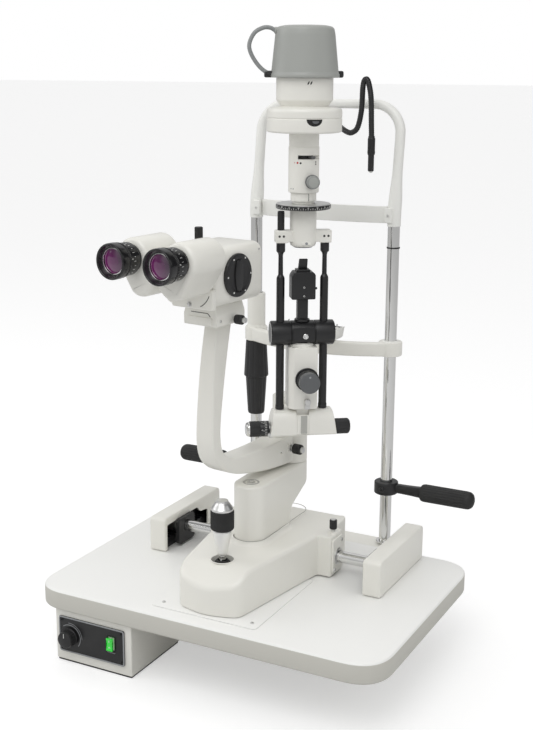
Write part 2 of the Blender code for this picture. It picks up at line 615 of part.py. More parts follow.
def make_posts(deck, white, black, chrome):
    running = POST_RADIUS + GAP
    outline = rounded_box((-0.126, 0.1753), (0.126, 0.2150), 0.006, 2)
    bracket = prism("post_bracket", outline, -0.0265, -0.0030, white, deck)
    cuts = []
    for side, word in ((-1, "left"), (1, "right")):
        at = (side * POST_X, POST_Y, 0)
        turned(f"head_post_{word}", [(POST_RADIUS, POST_LOW), (POST_RADIUS, POST_TOP)], chrome, deck, at, sides=20)
        cuts.append(turned(f"bracket_bore_{word}", [(running, -0.04), (running, 0.01)], None, deck, at, sides=20))
        clamp = turned(f"hand_bar_{word}", [(0.0175, -0.0090), (0.0175, 0.0090)], black, deck,
                       (side * POST_X, POST_Y, HANDLE_HEIGHT))
        bar = [(0.0060, 0.0120), (0.0060, 0.0530), (0.0120, 0.0560), (0.0130, 0.0600), (0.0130, 0.1270),
               (0.0125, 0.1300), (0.0090, 0.1335), (0.0045, 0.1350)]
        grip = turned(f"hand_grip_{word}", bar, None, deck, (side * POST_X, POST_Y, HANDLE_HEIGHT),
                      "X" if side > 0 else "-X", 20)
        bore = turned(f"clamp_bore_{word}", [(running, -0.03), (running, 0.03)], None, deck,
                      (side * POST_X, POST_Y, HANDLE_HEIGHT), sides=20)
        shape(clamp, "UNION", grip)
        shape(clamp, "DIFFERENCE", bore)
    shape(bracket, "DIFFERENCE", *cuts)


def make_head_frame(deck, white, black):
    """A bent tube that leans back from the posts and arches over the head, with a brow band between its legs."""
    bend, top = 0.041, 0.637
    lean = math.tan(math.radians(7.5))

    def leaning(x, z):
        return (x, POST_Y + max(0.0, z - 0.488) * lean, z)

    half = [(POST_X, z) for z in (POST_TOP + GAP, 0.480, 0.488, 0.500, 0.545, top - bend)]
    half += arc((POST_X - bend, top - bend), bend, 15, 90, 5)
    path = [leaning(x, z) for x, z in half]
    path += [(-x, y, z) for x, y, z in reversed(path)]
    cable("head_frame", path, 0.0092, white, deck, 3)

    steps = 8
    span = POST_X - 0.0092 - 0.0008
    bow = 0.012
    across = [-span + 2 * span * i / steps for i in range(steps + 1)]
    front = [(x, 0.1965 - bow * (1 - (x / span) ** 2)) for x in across]
    outline = front + [(x, y + 0.0050) for x, y in reversed(front)]
    prism("forehead_band", outline, 0.4745, 0.4985, white, deck)

    bar_y = leaning(0, top)[1]
    route = [(FIXATION_X, bar_y, top - 0.0097), (FIXATION_X, bar_y, top - 0.0160), (0.0075, bar_y - 0.004, 0.6140),
             (0.0200, 0.208, 0.6050), (0.0372, 0.192, 0.5995), (0.0465, 0.189, 0.5988),
             (0.0557, 0.187, 0.6066), (0.0608, 0.187, 0.6298), (0.0622, 0.187, 0.6610), (0.0652, 0.187, 0.6706),
             (0.0698, 0.187, 0.6680), (0.0745, 0.187, 0.6470), (0.0760, 0.187, 0.6130), (0.0768, 0.187, 0.5770),
             (0.0768, 0.187, 0.5455)]
    cable("fixation_light", smooth_path(route, 2), 0.0040, black, deck)


def make_chin_rest(chin, deck, grip_axis, white, black):
    """A bar that bows forward between the posts, its guide sleeve on the left post, the cup and the lifting grip."""
    steps = 12
    bow, thickness = 0.030, 0.0130
    across = [-POST_X + 2 * POST_X * i / steps for i in range(steps + 1)]
    front = [(x, POST_Y - thickness - 0.003 - bow * (1 - (x / POST_X) ** 2)) for x in across]
    outline = [
        *front,
        *arc((POST_X, POST_Y), 0.0170, -60, 60, 5),
        *[(x, y + thickness) for x, y in reversed(front)],
        *arc((-POST_X, POST_Y), 0.0170, 120, 240, 5),
    ]
    bar = prism("chin_bar", outline, CHIN_LOW, CHIN_HIGH, white, chin)
    bevel(bar, 0.002, 1, 60)
    profile = [(0.0135, CHIN_LOW + 0.004), (0.0135, 0.358)]
    sleeve = turned("chin_sleeve", profile, None, chin, (-POST_X, POST_Y, 0), sides=20)
    bores = [
        turned(f"chin_bore_{side}", [(POST_RADIUS + GAP, 0.25), (POST_RADIUS + GAP, 0.40)], None, chin,
               (side * POST_X, POST_Y, 0), sides=20)
        for side in (-1, 1)
    ]
    shape(bar, "UNION", sleeve)
    shape(bar, "DIFFERENCE", *bores)
    low = CHIN_HIGH + GAP
    cup = [(-0.040, low), (0.040, low), (0.043, low + 0.017), (0.038, low + 0.018), (0.026, low + 0.0115),
           (0.010, low + 0.008), (-0.010, low + 0.008), (-0.026, low + 0.0115), (-0.038, low + 0.018),
           (-0.043, low + 0.017)]
    prism("chin_cup", cup, 0.1480, 0.1880, white, chin, "Y")

    profile = [(0.0125, 0.170), (0.0135, 0.175), (0.0165, 0.2285), (0.0188, 0.2290), (0.0155, CHIN_LOW - 0.001)]
    grip = turned("chin_height_grip", profile, black, grip_axis)
    bore = turned("grip_bore", [(POST_RADIUS + GAP, 0.15), (POST_RADIUS + GAP, 0.30)], None, grip_axis, sides=20)
    shape(grip, "DIFFERENCE", bore)


# ---------------------------------------------------------------- assembly

def main():
    for old in list(bpy.data.objects):
        bpy.data.objects.remove(old)
    white = finish("white_enamel", (0.83, 0.82, 0.77), 0.35)
    grey = finish("grey_plastic", (0.36, 0.37, 0.36), 0.5)
    black = finish("black_plastic", (0.02, 0.02, 0.02), 0.45)
    chrome = finish("polished_steel", (0.75, 0.75, 0.75), 0.15, 1.0)
    green = finish("green_lens", (0.05, 0.55, 0.10), 0.3)

    deck = pivot("deck", at=(0, 0, BOARD_THICKNESS))
    make_board(deck, white)
    make_power_box(deck, white, black, green, grey)
    for side in (-1, 1):
        make_rail(deck, side, white, black)
    make_posts(deck, white, black, chrome)
    make_head_frame(deck, white, black)
    chin = pivot("chin_slide", deck)
    make_chin_rest(chin, deck, pivot("chin_grip_axis", deck, (-POST_X, POST_Y, 0)), white, black)

    carriage = pivot("axle_carriage", deck, (0, AXLE_Y, AXLE_Z))
    make_axle(pivot("axle_spin", carriage), carriage, chrome, black)
    base = pivot("base_slide", deck)
    make_base(base, white, black)
    make_joystick(pivot("joystick_pivot", base, (0, JOYSTICK_Y, JOYSTICK_PIVOT)), white, chrome)

    lift = pivot("lift", base)
    make_column(base, lift, white, chrome)
    microscope = pivot("microscope_swing", lift, (0, SWING_Y, 0), MICROSCOPE_SWING)
    make_microscope_arm(microscope, white, black)
    make_microscope_body(microscope, white, black)
    make_eyepieces(microscope, white, black)

    tower = pivot("illumination_swing", lift, (0, SWING_Y, 0), TOWER_SWING)
    make_illumination_arm(tower, white)
    tilt = pivot("tilt_axis", tower, (0, TOWER_Y, TILT_HEIGHT))
    make_slit_control(pivot("slit_axis", tilt), black)
    make_tower(tilt, white, black, grey, chrome)
    make_upper_tower(tilt, white, black, grey, chrome)


main()
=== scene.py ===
import json
import math

import bpy
import numpy as np
from mathutils import Matrix, Vector


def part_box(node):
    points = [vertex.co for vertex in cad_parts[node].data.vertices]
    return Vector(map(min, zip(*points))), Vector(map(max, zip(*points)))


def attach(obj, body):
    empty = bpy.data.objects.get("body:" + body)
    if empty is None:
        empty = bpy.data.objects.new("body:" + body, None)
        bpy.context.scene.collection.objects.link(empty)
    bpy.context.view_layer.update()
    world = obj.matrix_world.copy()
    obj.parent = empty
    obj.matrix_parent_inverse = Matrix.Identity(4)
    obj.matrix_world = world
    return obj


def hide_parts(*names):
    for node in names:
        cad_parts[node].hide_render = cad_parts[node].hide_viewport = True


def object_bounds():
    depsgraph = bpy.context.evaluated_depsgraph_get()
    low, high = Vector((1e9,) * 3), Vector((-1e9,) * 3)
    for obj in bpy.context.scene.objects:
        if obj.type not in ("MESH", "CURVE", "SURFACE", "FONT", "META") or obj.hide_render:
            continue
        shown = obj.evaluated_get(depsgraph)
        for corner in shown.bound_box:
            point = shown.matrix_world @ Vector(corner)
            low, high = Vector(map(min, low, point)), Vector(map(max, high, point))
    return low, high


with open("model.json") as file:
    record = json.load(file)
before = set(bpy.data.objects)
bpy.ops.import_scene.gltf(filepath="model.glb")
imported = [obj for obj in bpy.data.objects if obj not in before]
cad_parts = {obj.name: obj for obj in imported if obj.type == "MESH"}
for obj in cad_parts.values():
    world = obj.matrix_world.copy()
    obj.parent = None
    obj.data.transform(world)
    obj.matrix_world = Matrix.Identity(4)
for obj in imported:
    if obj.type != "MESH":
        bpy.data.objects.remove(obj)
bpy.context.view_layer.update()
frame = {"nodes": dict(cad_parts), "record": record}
joints = {joint["name"]: joint for joint in frame["record"]["behaviour"]["joints"]}
print("frame loaded:", len(frame["nodes"]), "nodes")


# ---- places: a place is a 4x4 array whose third column is the direction a shape grows along

facing = {
    "Z": ((1, 0, 0), (0, 1, 0), (0, 0, 1)),
    "-Z": ((1, 0, 0), (0, -1, 0), (0, 0, -1)),
    "X": ((0, 1, 0), (0, 0, 1), (1, 0, 0)),
    "-X": ((0, -1, 0), (0, 0, 1), (-1, 0, 0)),
    "Y": ((-1, 0, 0), (0, 0, 1), (0, 1, 0)),
    "-Y": ((1, 0, 0), (0, 0, 1), (0, -1, 0)),
}


def placeAt(origin, across, up=(0, 0, 1)):
    # x = across, z = up, y = z cross x
    across, up = np.array(across, float), np.array(up, float)
    made = np.eye(4)
    made[:3, 0], made[:3, 1], made[:3, 2], made[:3, 3] = across, np.cross(up, across), up, origin
    return made


def step(where, x=0.0, y=0.0, z=0.0, to="Z"):
    # a place moved by (x, y, z) inside another one, its growing direction turned to the named axis
    made = np.eye(4)
    made[:3, :3] = np.array(facing[to], float).T
    made[:3, 3] = (x, y, z)
    return where @ made


def around(where, angle, radius, height):
    # a place on a drum of that radius, looking outwards: x runs round the drum and y up it
    a = math.radians(angle)
    made = np.eye(4)
    made[:3, 0] = (-math.sin(a), math.cos(a), 0)
    made[:3, 1] = (0, 0, 1)
    made[:3, 2] = (math.cos(a), math.sin(a), 0)
    made[:3, 3] = (radius * math.cos(a), radius * math.sin(a), height)
    return where @ made


def lean(where, degrees, axis="X"):
    made = np.array(Matrix.Rotation(math.radians(degrees), 4, axis))
    return where @ made


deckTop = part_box("table_top")[1][2]
deck = placeAt((0, 0, deckTop), (1, 0, 0))
swingAxis = joints["microscope_swing"]["pos_m"]
scope = placeAt((swingAxis[0], swingAxis[1], deckTop), joints["magnification_turn"]["axis"])
tiltAxis = joints["tower_tilt"]["pos_m"]
tower = placeAt((tiltAxis[0], tiltAxis[1], deckTop), joints["tower_tilt"]["axis"])
tiltHeight = tiltAxis[2] - deckTop


# ---- shells: a shell is (points, faces), closed and facing outwards

def facesOut(points, faces):
    # the volume under a closed shell is the sum of a . (b x c) / 6 over its triangles; a negative one is turned round
    fans = np.array([(face[0], face[k], face[k + 1]) for face in faces for k in range(1, len(face) - 1)])
    a, b, c = points[fans[:, 0]], points[fans[:, 1]], points[fans[:, 2]]
    volume = np.einsum("ij,ij->i", a - points[0], np.cross(b - points[0], c - points[0])).sum()
    return faces if volume > 0 else [face[::-1] for face in faces]


def skin(grid, where, loop=False):
    # rows of points become quads; the columns close on themselves, the rows close with caps or, in a loop, with each other
    rows, columns, _ = grid.shape
    points = grid.reshape(-1, 3) @ where[:3, :3].T + where[:3, 3]
    i = np.arange(rows if loop else rows - 1)[:, None] * columns
    j = np.arange(columns)[None, :]
    over, beside = (i + columns) % (rows * columns), (j + 1) % columns
    faces = np.stack([i + j, i + beside, over + beside, over + j], axis=-1).reshape(-1, 4).tolist()
    if not loop:
        last = (rows - 1) * columns
        faces += [list(range(columns))[::-1], list(range(last, last + columns))]
    return points, facesOut(points, faces)


def softened(corners, radius, steps=4, closed=False):
    # each corner P becomes (1-t)^2 A + 2t(1-t) P + t^2 B, where A and B lie at most `radius` along its two sides
    p = np.array(corners, float)
    if closed:
        before, here, after = np.roll(p, 1, axis=0), p, np.roll(p, -1, axis=0)
    else:
        before, here, after = p[:-2], p[1:-1], p[2:]
    reach = np.broadcast_to(np.asarray(radius, float), (len(here),))[:, None]
    lengthBack = np.linalg.norm(before - here, axis=1, keepdims=True)
    lengthOn = np.linalg.norm(after - here, axis=1, keepdims=True)
    a = here + (before - here) * np.minimum(reach / lengthBack, 0.48)
    b = here + (after - here) * np.minimum(reach / lengthOn, 0.48)
    t = np.linspace(0, 1, steps + 1)[None, :, None]
    bends = (1 - t) ** 2 * a[:, None] + 2 * t * (1 - t) * here[:, None] + t ** 2 * b[:, None]
    bends = bends.reshape(-1, 2)
    return bends if closed else np.vstack([p[:1], bends, p[-1:]])


def lathe(corners, where, sides=64, soft=0.0006, ripple=None, loop=False):
    # (radius, height) corners turned about z: (r cos u, r sin u, h); a ripple takes depth (1 - |cos(n u / 2)|^k) off r between two heights
    rim = softened(corners, soft, 3, loop)
    u = np.linspace(0, 2 * math.pi, sides, endpoint=False)
    r = np.repeat(rim[:, :1], sides, axis=1)
    if ripple:
        inside = (rim[:, 1:] >= ripple["low"] - 1e-6) & (rim[:, 1:] <= ripple["high"] + 1e-6)
        wave = 1 - np.abs(np.cos(ripple["count"] * u / 2)) ** ripple.get("power", 1.0)
        r = r - inside * ripple["depth"] * wave[None, :]
    grid = np.stack([r * np.cos(u), r * np.sin(u), np.repeat(rim[:, 1:], sides, axis=1)], axis=-1)
    return skin(grid, where, loop)


def outward(outline):
    # the unit normals of an outline that runs anticlockwise
    ahead = np.roll(outline, -1, axis=0) - outline
    ahead /= np.linalg.norm(ahead, axis=1, keepdims=True) + 1e-12
    mean = ahead + np.roll(ahead, 1, axis=0)
    mean /= np.linalg.norm(mean, axis=1, keepdims=True) + 1e-12
    return np.stack([mean[:, 1], -mean[:, 0]], axis=1)


def anticlockwise(outline):
    x, y = outline[:, 0], outline[:, 1]
    return outline if (x * np.roll(y, -1) - y * np.roll(x, -1)).sum() > 0 else outline[::-1]


def slab(corners, low, high, where, corner=0.002, edge=0.0008, steps=5, warp=None):
    # an outline pushed from low to high; at angle t of its rounded edge it moves in by edge (1 - sin t) and the height by edge (1 - cos t)
    # a corner is kept wider than the edge so the rounding never folds over itself
    if corner is None:
        outline = anticlockwise(np.array(corners, float))
    else:
        outline = anticlockwise(softened(corners, np.maximum(corner, 1.5 * edge), steps, True))
    normal = outward(outline)
    t = np.linspace(0, math.pi / 2, 5)
    move = np.concatenate([edge * (1 - np.sin(t)), edge * (1 - np.sin(t[::-1]))])
    height = np.concatenate([low + edge * (1 - np.cos(t)), high - edge * (1 - np.cos(t[::-1]))])
    flat = outline[None] - normal[None] * move[:, None, None]
    grid = np.concatenate([flat, np.broadcast_to(height[:, None, None], (*flat.shape[:2], 1))], axis=-1)
    return skin(warp(grid) if warp else grid, where)


def hoop(corners, profile, where, corner=0.002, steps=6, soft=0.0004):
    # a closed (offset, height) profile carried round a closed outline along its normals
    outline = anticlockwise(softened(corners, corner, steps, True))
    normal = outward(outline)
    ring = softened(profile, soft, 3, True)
    flat = outline[None] + normal[None] * ring[:, 0][:, None, None]
    grid = np.concatenate([flat, np.broadcast_to(ring[:, 1][:, None, None], (*flat.shape[:2], 1))], axis=-1)
    return skin(grid, where, True)


def curveThrough(points, steps):
    # Catmull-Rom: 0.5 (2q + (r-p) t + (2p-5q+4r-s) t^2 + (3q-p-3r+s) t^3) between each q and r
    p = np.array(points, float)
    p = np.vstack([2 * p[:1] - p[1:2], p, 2 * p[-1:] - p[-2:-1]])
    a, b, c, d = (q[:, None] for q in (p[:-3], p[1:-2], p[2:-1], p[3:]))
    t = np.linspace(0, 1, steps, endpoint=False)[None, :, None]
    run = 0.5 * (2 * b + (c - a) * t + (2 * a - 5 * b + 4 * c - d) * t ** 2 + (3 * b - a - 3 * c + d) * t ** 3)
    return np.vstack([run.reshape(-1, p.shape[1]), p[-2:-1]])


def tube(path, wide, deep, where, sides=24, power=1.0, hint=(0, 1, 0)):
    # section (wide cos u, deep sin u) carried along a path, its deep side kept near the hint direction; power < 1 squares the section
    path = np.array(path, float)
    tangent = np.gradient(path, axis=0)
    tangent /= np.linalg.norm(tangent, axis=1, keepdims=True)
    side = np.cross(tangent, np.array(hint, float))
    side /= np.linalg.norm(side, axis=1, keepdims=True)
    up = np.cross(side, tangent)
    u = np.linspace(0, 2 * math.pi, sides, endpoint=False)
    c, s = np.cos(u), np.sin(u)
    c, s = np.sign(c) * np.abs(c) ** power, np.sign(s) * np.abs(s) ** power
    wide = np.broadcast_to(np.asarray(wide, float), (len(path),))[:, None, None]
    deep = np.broadcast_to(np.asarray(deep, float), (len(path),))[:, None, None]
    grid = path[:, None] + wide * side[:, None] * c[None, :, None] + deep * up[:, None] * s[None, :, None]
    return skin(grid, where)


def blockShell(low, high, where, edge=0.0004):
    (a, b, c), (d, e, f) = low, high
    return slab([(a, b), (d, b), (d, e), (a, e)], c, f, where, edge, edge, 2)


def ticks(angles, radius, height, where, width, tall, thick=0.00012):
    # small boxes set round a drum: each corner is radius + depth out along its own angle
    a = np.radians(np.array(angles, float))[:, None, None]
    tall = np.broadcast_to(np.asarray(tall, float), (len(angles),))[:, None, None]
    box = np.array([(x, y, z) for z in (-1, 1) for x, y in ((-1, 0), (1, 0), (1, 1), (-1, 1))], float)[None]
    x, y, z = box[..., 0:1] * width / 2, box[..., 1:2] * tall + height, radius + box[..., 2:3] * thick
    points = np.concatenate([z * np.cos(a) - x * np.sin(a), z * np.sin(a) + x * np.cos(a), y], axis=-1)
    points = points.reshape(-1, 3) @ where[:3, :3].T + where[:3, 3]
    quads = np.array([(0, 3, 2, 1), (4, 5, 6, 7), (0, 1, 5, 4), (1, 2, 6, 5), (2, 3, 7, 6), (3, 0, 4, 7)])
    faces = (quads[None] + 8 * np.arange(len(angles))[:, None, None]).reshape(-1, 4).tolist()
    return points, facesOut(points, faces)


def drumPatch(across, low, high, radius, where, deep=0.0006, proud=0.00015):
    # a patch on a drum: each column stands at the angle across / radius, from its own low to its own high
    angle = np.array(across, float) / radius
    ring = np.stack([np.stack([np.full_like(angle, r), height], axis=1) for r, height in (
        (radius - deep, low), (radius + proud, low), (radius + proud, high), (radius - deep, high))], axis=1)
    grid = np.stack([ring[..., 0] * np.sin(angle)[:, None], ring[..., 1], ring[..., 0] * np.cos(angle)[:, None]], axis=-1)
    return skin(grid, where)


def numeral(text, size, where, thick=0.0001):
    # raised type, centred on its place
    curve = bpy.data.curves.new("type", "FONT")
    curve.body, curve.size, curve.extrude = text, size, thick
    curve.align_x, curve.align_y, curve.resolution_u = "CENTER", "CENTER", 2
    carrier = bpy.data.objects.new("type", curve)
    bpy.context.collection.objects.link(carrier)
    mesh = bpy.data.meshes.new_from_object(carrier.evaluated_get(bpy.context.evaluated_depsgraph_get()))
    shell = readBack(mesh)
    bpy.data.objects.remove(carrier)
    bpy.data.curves.remove(curve)
    return shell[0] @ where[:3, :3].T + where[:3, 3], shell[1]


def readBack(mesh):
    points = np.empty(len(mesh.vertices) * 3)
    mesh.vertices.foreach_get("co", points)
    faces = [list(polygon.vertices) for polygon in mesh.polygons]
    bpy.data.meshes.remove(mesh)
    return points.reshape(-1, 3), faces


def carved(shell, away=(), onto=()):
    # the shell joined with some closed shells, and cut by others
    def loose(part):
        mesh = bpy.data.meshes.new("carving")
        mesh.from_pydata(part[0].tolist(), [], part[1])
        thing = bpy.data.objects.new("carving", mesh)
        bpy.context.collection.objects.link(thing)
        return thing
    body = loose(shell)
    tools = []
    for kind, group in (("UNION", onto), ("DIFFERENCE", away)):
        for part in group:
            tools.append(loose(part))
            cut = body.modifiers.new("cut", "BOOLEAN")
            cut.operation, cut.object, cut.solver = kind, tools[-1], "EXACT"
    mesh = bpy.data.meshes.new_from_object(body.evaluated_get(bpy.context.evaluated_depsgraph_get()))
    for thing in [body, *tools]:
        old = thing.data
        bpy.data.objects.remove(thing)
        bpy.data.meshes.remove(old)
    return readBack(mesh)


def piece(name, body, parts, stands=(), sharp=32):
    # parts are (material, shell) pairs, joined into one object that rides on a body
    points, faces, materialOf, materials = [], [], [], []
    count = 0
    for material, (spots, loops) in parts:
        if material not in materials:
            materials.append(material)
        points.append(spots)
        faces += [[index + count for index in loop] for loop in loops]
        materialOf += [materials.index(material)] * len(loops)
        count += len(spots)
    mesh = bpy.data.meshes.new(name)
    mesh.from_pydata(np.vstack(points).tolist(), [], faces)
    for material in materials:
        mesh.materials.append(material)
    mesh.polygons.foreach_set("material_index", materialOf)
    mesh.shade_smooth()
    mesh.set_sharp_from_angle(angle=math.radians(sharp))
    made = bpy.data.objects.new(name, mesh)
    bpy.context.collection.objects.link(made)
    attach(made, body)
    if stands:
        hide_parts(*stands)
    return made


def screwHead(where, radius=0.0022, socket=0.5):
    # a low domed head with a round socket sunk in it
    inner = radius * socket
    return lathe([(radius, -0.0006), (radius, radius * 0.35), (radius * 0.8, radius * 0.6), (inner, radius * 0.65),
                  (inner, 0.0), (inner * 0.5, -0.0001)], where, 20, radius * 0.15)


def rectangle(left, low, right, high):
    return [(left, low), (right, low), (right, high), (left, high)]


def roundOutline(radius, count=48, centre=(0, 0)):
    u = np.linspace(0, 2 * math.pi, count, endpoint=False)
    return np.stack([centre[0] + radius * np.cos(u), centre[1] + radius * np.sin(u)], axis=1)


# ---- finishes

def newGroup(name, inputs, outputs):
    group = bpy.data.node_groups.new(name, "ShaderNodeTree")
    for label, kind, value in inputs:
        group.interface.new_socket(label, in_out="INPUT", socket_type=kind).default_value = value
    for label, kind in outputs:
        group.interface.new_socket(label, in_out="OUTPUT", socket_type=kind)
    return group, group.nodes.new("NodeGroupInput"), group.nodes.new("NodeGroupOutput")


def addNode(tree, kind, **values):
    node = tree.nodes.new(kind)
    for key, value in values.items():
        setattr(node, key, value)
    return node


def makeSurfaceGroup():
    # two tones mixed by slow blotches, roughness moved by fine grain, and a height made of that grain
    group, taken, given = newGroup(
        "surfaceLife",
        [("Colour", "NodeSocketColor", (1, 1, 1, 1)), ("Shade", "NodeSocketColor", (0.8, 0.8, 0.8, 1)),
         ("Blotch Scale", "NodeSocketFloat", 12.0), ("Grain Scale", "NodeSocketFloat", 900.0),
         ("Roughness", "NodeSocketFloat", 0.4), ("Spread", "NodeSocketFloat", 0.1),
         ("Dust", "NodeSocketFloat", 0.0), ("Dust Colour", "NodeSocketColor", (0.6, 0.58, 0.54, 1))],
        [("Colour", "NodeSocketColor"), ("Roughness", "NodeSocketFloat"), ("Height", "NodeSocketFloat")],
    )
    link = group.links.new
    spot = addNode(group, "ShaderNodeTexCoord")
    blotch = addNode(group, "ShaderNodeTexNoise")
    blotch.inputs["Detail"].default_value = 4.0
    grain = addNode(group, "ShaderNodeTexNoise")
    grain.inputs["Detail"].default_value = 2.0
    mix = addNode(group, "ShaderNodeMix", data_type="RGBA")
    link(spot.outputs["Object"], blotch.inputs["Vector"])
    link(spot.outputs["Object"], grain.inputs["Vector"])
    link(taken.outputs["Blotch Scale"], blotch.inputs["Scale"])
    link(taken.outputs["Grain Scale"], grain.inputs["Scale"])
    link(blotch.outputs["Fac"], mix.inputs["Factor"])
    link(taken.outputs["Colour"], mix.inputs["A"])
    link(taken.outputs["Shade"], mix.inputs["B"])
    split = addNode(group, "ShaderNodeSeparateXYZ")
    link(spot.outputs["Normal"], split.inputs["Vector"])
    upward = addNode(group, "ShaderNodeMapRange")
    upward.inputs["From Min"].default_value, upward.inputs["From Max"].default_value = 0.6, 1.0
    link(split.outputs["Z"], upward.inputs["Value"])
    settled = addNode(group, "ShaderNodeMath", operation="MULTIPLY")
    link(upward.outputs["Result"], settled.inputs[0])
    link(taken.outputs["Dust"], settled.inputs[1])
    patchy = addNode(group, "ShaderNodeMath", operation="MULTIPLY")
    link(settled.outputs["Value"], patchy.inputs[0])
    link(blotch.outputs["Fac"], patchy.inputs[1])
    dusty = addNode(group, "ShaderNodeMix", data_type="RGBA")
    link(patchy.outputs["Value"], dusty.inputs["Factor"])
    link(mix.outputs["Result"], dusty.inputs["A"])
    link(taken.outputs["Dust Colour"], dusty.inputs["B"])
    link(dusty.outputs["Result"], given.inputs["Colour"])
    centred = addNode(group, "ShaderNodeMath", operation="SUBTRACT")
    centred.inputs[1].default_value = 0.5
    link(grain.outputs["Fac"], centred.inputs[0])
    rough = addNode(group, "ShaderNodeMath", operation="MULTIPLY_ADD")
    link(centred.outputs["Value"], rough.inputs[0])
    link(taken.outputs["Spread"], rough.inputs[1])
    link(taken.outputs["Roughness"], rough.inputs[2])
    link(rough.outputs["Value"], given.inputs["Roughness"])
    link(grain.outputs["Fac"], given.inputs["Height"])
    return group


def makeBrushGroup():
    # fine lines drawn out along one axis: noise read with that axis shrunk
    group, taken, given = newGroup(
        "brushedLines",
        [("Stretch", "NodeSocketVector", (1.0, 1.0, 0.03)), ("Scale", "NodeSocketFloat", 1500.0),
         ("Roughness", "NodeSocketFloat", 0.15), ("Spread", "NodeSocketFloat", 0.1)],
        [("Roughness", "NodeSocketFloat"), ("Height", "NodeSocketFloat")],
    )
    link = group.links.new
    spot = addNode(group, "ShaderNodeTexCoord")
    drawn = addNode(group, "ShaderNodeVectorMath", operation="MULTIPLY")
    link(spot.outputs["Object"], drawn.inputs[0])
    link(taken.outputs["Stretch"], drawn.inputs[1])
    lines = addNode(group, "ShaderNodeTexNoise")
    link(drawn.outputs["Vector"], lines.inputs["Vector"])
    link(taken.outputs["Scale"], lines.inputs["Scale"])
    rough = addNode(group, "ShaderNodeMath", operation="MULTIPLY_ADD")
    link(lines.outputs["Fac"], rough.inputs[0])
    link(taken.outputs["Spread"], rough.inputs[1])
    link(taken.outputs["Roughness"], rough.inputs[2])
    link(rough.outputs["Value"], given.inputs["Roughness"])
    link(lines.outputs["Fac"], given.inputs["Height"])
    return group


surfaceLife = makeSurfaceGroup()
brushedLines = makeBrushGroup()


def newMaterial(name, **sockets):
    made = bpy.data.materials.new(name)
    made.use_nodes = True
    shader = made.node_tree.nodes["Principled BSDF"]
    for label, value in sockets.items():
        shader.inputs[label.replace("_", " ")].default_value = value
    return made, made.node_tree, shader


def coated(name, colour, shade, roughness, spread=0.08, blotch=14.0, grain=900.0, bump=0.00003, dust=0.0,
           dustColour=(0.62, 0.60, 0.56), **sockets):
    # paint, plastic or rubber: the surface group drives colour, roughness and a bump of the stated depth in metres
    made, tree, shader = newMaterial(name, **sockets)
    life = addNode(tree, "ShaderNodeGroup", node_tree=surfaceLife)
    values = {"Colour": (*colour, 1), "Shade": (*shade, 1), "Blotch Scale": blotch, "Grain Scale": grain,
              "Roughness": roughness, "Spread": spread, "Dust": dust, "Dust Colour": (*dustColour, 1)}
    for label, value in values.items():
        life.inputs[label].default_value = value
    raised = addNode(tree, "ShaderNodeBump")
    raised.inputs["Distance"].default_value = bump
    tree.links.new(life.outputs["Colour"], shader.inputs["Base Color"])
    tree.links.new(life.outputs["Roughness"], shader.inputs["Roughness"])
    tree.links.new(life.outputs["Height"], raised.inputs["Height"])
    tree.links.new(raised.outputs["Normal"], shader.inputs["Normal"])
    return made


def plated(name, colour, roughness, spread, stretch, scale=1500.0, bump=0.000004, **sockets):
    # bare or plated metal with drawn or turned lines
    made, tree, shader = newMaterial(name, Base_Color=(*colour, 1), Metallic=1.0, **sockets)
    brush = addNode(tree, "ShaderNodeGroup", node_tree=brushedLines)
    values = {"Stretch": stretch, "Scale": scale, "Roughness": roughness, "Spread": spread}
    for label, value in values.items():
        brush.inputs[label].default_value = value
    raised = addNode(tree, "ShaderNodeBump")
    raised.inputs["Distance"].default_value = bump
    tree.links.new(brush.outputs["Roughness"], shader.inputs["Roughness"])
    tree.links.new(brush.outputs["Height"], raised.inputs["Height"])
    tree.links.new(raised.outputs["Normal"], shader.inputs["Normal"])
    return made


def coatedGlass(name, deep, bright):
    # an anti-reflection coat: the deep tint is the coat's own colour, and its turn to bright as the surface leans away
    # is a painted reflection
    made, tree, shader = newMaterial(name, Roughness=0.04, Coat_Weight=1.0, Coat_Roughness=0.02, IOR=1.7)
    tilted = addNode(tree, "ShaderNodeLayerWeight")
    tilted.inputs["Blend"].default_value = 0.35
    ramp = addNode(tree, "ShaderNodeValToRGB")
    ramp.color_ramp.elements[0].color = (*deep, 1)
    ramp.color_ramp.elements[1].color = (*bright, 1)
    ramp.color_ramp.elements[1].position = 0.85
    tree.links.new(tilted.outputs["Facing"], ramp.inputs["Fac"])
    tree.links.new(ramp.outputs["Color"], shader.inputs["Base Color"])
    return made


enamel = coated("enamelWhite", (0.83, 0.82, 0.765), (0.80, 0.79, 0.735), 0.33, 0.10, 10.0, 1100.0, 0.000035, 0.10,
                Coat_Weight=0.25, Coat_Roughness=0.18)
enamelAlloy = coated("enamelTower", (0.84, 0.83, 0.78), (0.81, 0.80, 0.745), 0.36, 0.10, 16.0, 1400.0, 0.00003, 0.08,
                     Coat_Weight=0.2, Coat_Roughness=0.2)
boardFace = coated("boardLaminate", (0.88, 0.88, 0.86), (0.86, 0.86, 0.84), 0.38, 0.12, 6.0, 2200.0, 0.00002, 0.05)
# the board's side colour: a tan edge-band tone, made darker than the top as painted shade on the board's sides
boardSideShaded = coated("boardEdgeShaded", (0.60, 0.59, 0.54), (0.57, 0.56, 0.51), 0.45, 0.12, 8.0, 1600.0, 0.00003)
whitePlastic = coated("whiteMoulding", (0.86, 0.86, 0.83), (0.84, 0.84, 0.80), 0.30, 0.08, 18.0, 700.0, 0.00001, 0.05)
blackPlastic = coated("blackMoulding", (0.013, 0.013, 0.014), (0.020, 0.020, 0.021), 0.42, 0.16, 40.0, 1800.0,
                      0.00005, 0.05, (0.16, 0.16, 0.16))
